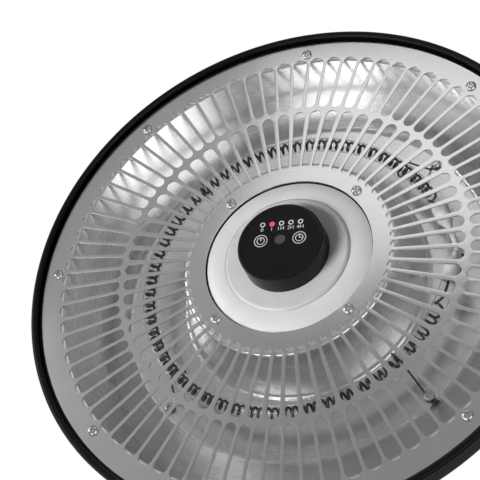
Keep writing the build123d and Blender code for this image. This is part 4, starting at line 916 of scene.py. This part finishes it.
# %% [markdown]
# Twelve pan-head screws hold the grille: eight at the rim and four at the hub. One head is spun and
# its cross recess is cut once; a tree then sets it on both circles, each turned by a random angle from
# a fixed seed, because nobody lines up the slots of screws by eye.

# %% Grille screws: one head


def arc_through(start, middle, end, steps):
    """Points on the arc through three points of an outline."""
    (ax, ay), (bx, by), (cx, cy) = start, middle, end
    d = 2 * (ax * (by - cy) + bx * (cy - ay) + cx * (ay - by))
    a2, b2, c2 = ax * ax + ay * ay, bx * bx + by * by, cx * cx + cy * cy
    x = (a2 * (by - cy) + b2 * (cy - ay) + c2 * (ay - by)) / d
    y = (a2 * (cx - bx) + b2 * (ax - cx) + c2 * (bx - ax)) / d
    first, last = math.atan2(ay - y, ax - x), math.atan2(cy - y, cx - x)
    turn = (last - first + math.pi) % (2 * math.pi) - math.pi
    ends = math.degrees(first), math.degrees(first + turn)
    return arc_points((x, y), math.hypot(ax - x, ay - y), *ends, steps)


def screw_head(radius, height, cross_length, cross_width, cross_depth):
    """A pan head below height 0, its cross recess cut by two crossed bars."""
    crown = (radius * 0.45, -height)
    shoulder = arc_through((radius, -height * 0.45), (radius * 0.83, -height * 0.82), crown, 6)
    axis = 0.02
    outline = [(axis, 0.0), (radius, 0.0)] + shoulder + [(axis, -height)]
    head = spin("pan_head", outline, steps=40)
    work = bmesh.new()
    for side in (0, 90):
        turn = Matrix.Rotation(math.radians(side), 4, "Z")
        size = Matrix.Diagonal((cross_length * MM, cross_width * MM, 2 * cross_depth * MM, 1))
        at = Matrix.Translation(place(0, 0, -height))
        bmesh.ops.create_cube(work, size=1.0, matrix=at @ turn @ size)
    cutter_mesh = bpy.data.meshes.new("cross")
    work.to_mesh(cutter_mesh)
    work.free()
    cutter = new_piece("cross", cutter_mesh)
    cut = head.modifiers.new("cut", "BOOLEAN")
    cut.object = cutter
    cut.operation = "DIFFERENCE"
    cut.solver = "EXACT"
    cut.use_self = True
    mesh = made_mesh(head)
    bpy.data.objects.remove(cutter)
    return tidy_mesh(mesh, crisp=35)


head_mesh = screw_head(radius=4.0, height=2.4, cross_length=4.6, cross_width=1.04, cross_depth=1.44)
print("screw head", len(head_mesh.polygons), "faces")

# %% [markdown]
# Points on a circle come from their index: each lies one pitch further round. Both circles share one
# random turn for each index, drawn from the seed.

# %% Grille screws: both circles


def screw_ring_tree():
    """Sets a head on two circles, each copy turned by its own random angle."""
    sockets = {"Head": "geometry"}
    for ring in ("Rim", "Hub"):
        sockets.update({f"{ring} Count": int, f"{ring} Circle": float, f"{ring} Turn": float})
    sockets.update({"Seed": int, "Finish": "material"})
    tree, given = start_tree("screw_rings", sockets)
    both = tree.nodes.new("GeometryNodeJoinGeometry")
    index = tree.nodes.new("GeometryNodeInputIndex").outputs[0]
    random = put(tree, "FunctionNodeRandomValue", {"Seed": given["Seed"]}, data_type="FLOAT")
    random.inputs[3].default_value = math.pi / 2
    for ring in ("Rim", "Hub"):
        pitch = reckon(tree, "DIVIDE", 2 * math.pi, given[f"{ring} Count"])
        angle = reckon(tree, "MULTIPLY_ADD", index, pitch, given[f"{ring} Turn"])
        along, across = (reckon(tree, "MULTIPLY", reckon(tree, step, angle), given[f"{ring} Circle"])
                         for step in ("COSINE", "SINE"))
        spot = put(tree, "ShaderNodeCombineXYZ", {0: along, 1: across}).outputs[0]
        wires = {"Count": given[f"{ring} Count"], "Position": spot}
        points = put(tree, "GeometryNodePoints", wires).outputs[0]
        turn = put(tree, "ShaderNodeCombineXYZ", {2: random.outputs[1]}).outputs[0]
        wires = {"Points": points, "Instance": given["Head"], "Rotation": turn}
        tree.links.new(put(tree, "GeometryNodeInstanceOnPoints", wires).outputs[0], both.inputs[0])
    end_tree(tree, both.outputs[0], given["Finish"])
    return tree


screws = grow("grille_screw_heads", screw_ring_tree(), {
    "Rim Count": rim_screws, "Rim Circle": rim_screw_circle * MM, "Rim Turn": 0.0,
    "Hub Count": hub_screws, "Hub Circle": hub_screw_circle * MM,
    "Hub Turn": math.radians(hub_screw_turn),
    "Seed": 7, "Finish": finishes["screw_steel"],
}, head_mesh)
dress(screws, "screw_steel", "grille_screws")

# %% [markdown]
# The lamp is a quartz tube bent into a ring that stops short of closing: a long arc round the heater,
# with a gentler bend at each end. Its path is worked out once, and the glass, its inside and the coil
# all follow it.

# %% Lamp: path
lamp_height = 22.0
ring_centre, ring_radius = (-3.1, 1.5), 118.2
first_turn, first_radius, first_sweep = 68.0, 129.0, 57.6
last_turn, last_radius, last_sweep = 300.0, 135.0, 36.8


def arc_centre(turn, radius):
    """Centre of an end bend that meets the ring smoothly at an angle."""
    a, back = math.radians(turn), ring_radius - radius
    return ring_centre[0] + back * math.cos(a), ring_centre[1] + back * math.sin(a)


lamp_arcs = [
    (arc_centre(first_turn, first_radius), first_radius, first_turn - first_sweep, first_sweep),
    (ring_centre, ring_radius, first_turn, last_turn - first_turn),
    (arc_centre(last_turn, last_radius), last_radius, last_turn, last_sweep),
]
lamp_length = sum(radius * math.radians(sweep) for _, radius, _, sweep in lamp_arcs)


def lamp_stations(step=2.0):
    """Points along the lamp with the direction that leads away from the bend's centre there."""
    stations = []
    for k, ((x, y), radius, first, sweep) in enumerate(lamp_arcs):
        count = round(sweep / step)
        for i in range(0 if k == 0 else 1, count + 1):
            a = math.radians(first + sweep * i / count)
            out = Vector((math.cos(a), math.sin(a), 0))
            stations.append((place(x, y, lamp_height) + out * radius * MM, out))
    return stations


print("lamp length", round(lamp_length), "mm")

# %% [markdown]
# Glass needs both of its surfaces, or light would pass it as if it were a solid rod. So the tube is a
# pipe with a wall: two skins along the same path, joined at both ends.

# %% Lamp: glass
tube_radius, tube_wall = 5.5, 0.6


def pipe(name, stations, outer, inner, sides=28):
    """A tube with a wall along a level path: two skins, joined at both ends."""
    vertices = []
    for point, out in stations:
        for radius in (outer, inner):
            for k in range(sides):
                a = 2 * math.pi * k / sides
                vertices.append(point + (out * math.cos(a) + up * math.sin(a)) * radius * MM)
    faces = []
    row = 2 * sides
    for i in range(len(stations) - 1):
        for skin in (0, sides):
            for k in range(sides):
                here, beside = i * row + skin + k, i * row + skin + (k + 1) % sides
                faces.append((here, beside, beside + row, here + row))
    for i in (0, len(stations) - 1):
        for k in range(sides):
            here, beside = i * row + k, i * row + (k + 1) % sides
            faces.append((here, beside, beside + sides, here + sides))
    mesh = bpy.data.meshes.new(name)
    mesh.from_pydata(vertices, [], faces)
    return new_piece(name, tidy_mesh(mesh, crisp=50))


lamp_glass = pipe("lamp_glass", lamp_stations(), tube_radius, tube_radius - tube_wall)
dress(lamp_glass, "quartz", "lamp_tube")

# %% [markdown]
# The heating coil is one wire that leaves a cap on the tube's axis, widens into a helix and narrows
# again at the far end. A tree samples the lamp's path, moves each sample round it by an angle that
# grows with the length, and sweeps the round wire along the result.

# %% Lamp: coil


def coil_tree():
    """A round wire wound about a path, with named gaps at both ends."""
    labels = ["Length", "First Gap", "Last Gap", "Run In", "Curls", "First Turn", "Coil Radius",
              "Wire Radius"]
    sockets = {"Path": "geometry", **{label: float for label in labels}, "Steps": int, "Finish": "material"}
    tree, given = start_tree("wound_wire", sockets)
    path = put(tree, "GeometryNodeMeshToCurve", {"Mesh": given["Path"]}).outputs[0]
    line = put(tree, "GeometryNodeCurvePrimitiveLine", {"End": (0, 0, 1)}).outputs[0]
    wires = {"Curve": line, "Count": given["Steps"]}
    line = put(tree, "GeometryNodeResampleCurve", wires, mode="COUNT").outputs[0]
    share = tree.nodes.new("GeometryNodeSplineParameter").outputs["Factor"]
    wires = {"Curves": path, "Factor": share}
    spot = put(tree, "GeometryNodeSampleCurve", wires, mode="FACTOR", use_all_curves=True)
    length = reckon(tree, "MULTIPLY", share, given["Length"])
    end = reckon(tree, "SUBTRACT", given["Length"], given["Last Gap"])
    turns = spread(tree, length, 0.0, given["Curls"], given["First Gap"], end)
    angle = reckon(tree, "MULTIPLY", reckon(tree, "ADD", turns, given["First Turn"]), 2 * math.pi)
    early = reckon(tree, "SUBTRACT", given["First Gap"], given["Run In"])
    late = reckon(tree, "ADD", end, given["Run In"])
    widen = spread(tree, length, 0.0, 1.0, early, given["First Gap"])
    narrow = spread(tree, length, 1.0, 0.0, end, late)
    radius = reckon(tree, "MULTIPLY", reckon(tree, "MULTIPLY", widen, narrow), given["Coil Radius"])
    wires = {0: spot.outputs["Tangent"], 1: (0, 0, 1)}
    out = put(tree, "ShaderNodeVectorMath", wires, operation="CROSS_PRODUCT").outputs[0]
    wires = {0: out, "Scale": reckon(tree, "MULTIPLY", radius, reckon(tree, "COSINE", angle))}
    across = put(tree, "ShaderNodeVectorMath", wires, operation="SCALE").outputs[0]
    wires = {2: reckon(tree, "MULTIPLY", radius, reckon(tree, "SINE", angle))}
    rise = put(tree, "ShaderNodeCombineXYZ", wires).outputs[0]
    moved = put(tree, "ShaderNodeVectorMath", {0: across, 1: rise}, operation="ADD").outputs[0]
    moved = put(tree, "ShaderNodeVectorMath", {0: spot.outputs["Position"], 1: moved}, operation="ADD")
    wire = put(tree, "GeometryNodeSetPosition", {"Geometry": line, "Position": moved.outputs[0]}).outputs[0]
    wires = {"Resolution": 8, "Radius": given["Wire Radius"]}
    round_profile = put(tree, "GeometryNodeCurvePrimitiveCircle", wires).outputs[0]
    wires = {"Curve": wire, "Profile Curve": round_profile, "Fill Caps": True}
    end_tree(tree, put(tree, "GeometryNodeCurveToMesh", wires).outputs[0], given["Finish"])
    return tree


path_mesh = bpy.data.meshes.new("lamp_path")
path_points = [point for point, out in lamp_stations(1.0)]
path_mesh.from_pydata(path_points, [(i, i + 1) for i in range(len(path_points) - 1)], [])
coil = grow("heating_coil", coil_tree(), {
    "Length": lamp_length * MM, "First Gap": 27.0 * MM, "Last Gap": 16.5 * MM, "Run In": 6.4 * MM,
    "Curls": 126.0, "First Turn": 0.5, "Coil Radius": 3.4 * MM, "Wire Radius": 1.05 * MM, "Steps": 2800,
    "Finish": finishes["carbon"],
}, path_mesh)
tidy_mesh(coil.data, crisp=60)
dress(coil, "carbon", "lamp_filament")

# %% [markdown]
# The hub is four turned shapes in a stack: the white dish with its rolled edge, the disc on it, the
# black box on the disc, and the panel let into the box's face. They are the nearest thing to the
# camera, so their round edges get many steps. The panel keeps the frame's mesh. The dish has a fine
# groove round the disc, which shows as a line, and its edge rises in one flat arc.

# %% Hub: dish and disc
stem_hole, dish_face, dish_sheet, disc_face = 9.1, -0.4, 1.0, -2.2
groove = [(49.25, dish_face), (49.35, 0.1), (49.75, 0.1), (49.85, dish_face)]
dish_edge = arc_through((51.0, dish_face), (59.0, 0.2), (65.2, 2.2), 14)
dish_low = [(stem_hole, dish_face)] + groove + dish_edge
dish_high = [(stem_hole, dish_face + dish_sheet)]
dish_high += [(radius, height + dish_sheet) for radius, height in dish_edge]
dish = spin("hub_dish_spun", dish_low + dish_high[::-1], steps=256)
dress(dish, "dish_white", "hub_dish")

disc_edge = [(49.3, dish_face), (48.9, -1.12), (47.3, disc_face)]
disc_outline = [(stem_hole, dish_face)] + disc_edge + [(stem_hole, disc_face)]
disc = spin("hub_disc_turned", rounded(disc_outline, [0, 0, 0.5, 0.8, 0]), steps=256)
dress(disc, "disc_white", "hub_disc")

# %% [markdown]
# The control box is a moulded cup, open above, whose face has a ledge that the panel lies on. Its outer
# corner is well rounded, as a moulding's is, and a highlight runs round it.

# %% Hub: control box
box_radius, box_face_radius, box_face, panel_face = 34.0, 33.3, -18.5, -18.1
ledge = [(28.2, -15.5), (28.2, -16.6), (30.68, -16.6), (30.68, box_face)]
wall = [(box_face_radius, box_face), (box_radius, disc_face), (31.8, disc_face), (31.8, -15.5)]
box_bends = [0.2, 0.2, 0.2, 0.25, 1.3, 0, 0, 0.4]
box = spin("control_box_moulded", rounded(ledge + wall, box_bends, steps=6), steps=256)
dress(box, "box_plastic", "control_box")

# %% [markdown]
# The panel's signs are printed: a thin layer of ink a few hundredths of a millimetre proud of the
# film. Rings and bars are flat strips, and the figures are set in a plain font. Seen from below,
# the panel reads from left to right along X, with the top of the figures towards the lights.

# %% Panel prints: helpers
ink = 0.03
print_z = panel_face - ink


def flat_ring(work, x, y, outer, inner, steps=48):
    """A flat ring of ink about a point, facing down."""
    rings = []
    for radius in (outer, inner):
        rings.append([
            work.verts.new(place(x + radius * math.cos(2 * math.pi * k / steps),
                                 y + radius * math.sin(2 * math.pi * k / steps), print_z))
            for k in range(steps)
        ])
    for k in range(steps):
        j = (k + 1) % steps
        work.faces.new((rings[0][j], rings[0][k], rings[1][k], rings[1][j]))


def flat_bar(work, start, end, width):
    """A flat bar of ink between two points, facing down."""
    (x0, y0), (x1, y1) = start, end
    length = math.hypot(x1 - x0, y1 - y0)
    nx, ny = -(y1 - y0) / length * width / 2, (x1 - x0) / length * width / 2
    corners = [(x0 + nx, y0 + ny), (x1 + nx, y1 + ny), (x1 - nx, y1 - ny), (x0 - nx, y0 - ny)]
    work.faces.new([work.verts.new(place(x, y, print_z)) for x, y in corners])


def printed_word(text, x, y, height, width=None):
    """A figure or short word, centred on a point, as a mesh; its width can be set too."""
    curve = bpy.data.curves.new("word", "FONT")
    curve.body = text
    curve.align_x, curve.align_y = "CENTER", "CENTER"
    carrier = bpy.data.objects.new("word", curve)
    scene.collection.objects.link(carrier)
    mesh = made_mesh(carrier)
    low = [min(v.co[i] for v in mesh.vertices) for i in (0, 1)]
    high = [max(v.co[i] for v in mesh.vertices) for i in (0, 1)]
    grow_y = height / (high[1] - low[1])
    grow_x = width / (high[0] - low[0]) if width else grow_y
    for vertex in mesh.vertices:
        u, v = vertex.co.x - (low[0] + high[0]) / 2, vertex.co.y - (low[1] + high[1]) / 2
        vertex.co = place(x + u * grow_x, y - v * grow_y, print_z)
    return mesh


# %% [markdown]
# Four of the five lights have a printed ring, all but the lit one, and each light has a figure below
# it. The two touch signs are double rings: one holds a bar, for power, and the other two hands, for
# the clock.

# %% Panel prints: rings, signs and figures
figures_row, figure_height = -11.9, 3.0
sign_pitch, sign_row = 15.1, -2.1
light_ring, sign_rim, sign_core = (2.1, 1.25), (5.3, 4.68), (3.2, 2.6)
power_bar, power_bar_width = 3.0, 0.75
long_hand, short_hand, hand_width = 2.6, 2.4, 0.6

ink_work = bmesh.new()
light_columns = [(i - 2) * light_pitch for i in range(5)]
for i, x in enumerate(light_columns):
    if i != 1:
        flat_ring(ink_work, x, light_row, *light_ring)
for side in (-1, 1):
    flat_ring(ink_work, side * sign_pitch, sign_row, *sign_rim, steps=72)
    flat_ring(ink_work, side * sign_pitch, sign_row, *sign_core, steps=60)
overlap = hand_width / 2
flat_bar(ink_work, (-sign_pitch, sign_row - power_bar), (-sign_pitch, sign_row), power_bar_width)
flat_bar(ink_work, (sign_pitch, sign_row - long_hand), (sign_pitch, sign_row + overlap), hand_width)
flat_bar(ink_work, (sign_pitch - overlap, sign_row), (sign_pitch + short_hand, sign_row), hand_width)
for x, text, width in zip(light_columns, ("0", "I", "1H", "2H", "4H"), (2.1, None, 4.6, 5.0, 5.4)):
    ink_work.from_mesh(printed_word(text, x, figures_row, figure_height, width))
for face in ink_work.faces:
    if face.normal.z > 0:
        face.normal_flip()
ink_mesh = bpy.data.meshes.new("panel_print")
ink_work.to_mesh(ink_mesh)
ink_work.free()
panel_print = new_piece("panel_print", ink_mesh)
dress(panel_print, "panel_gloss", finish="print_white")
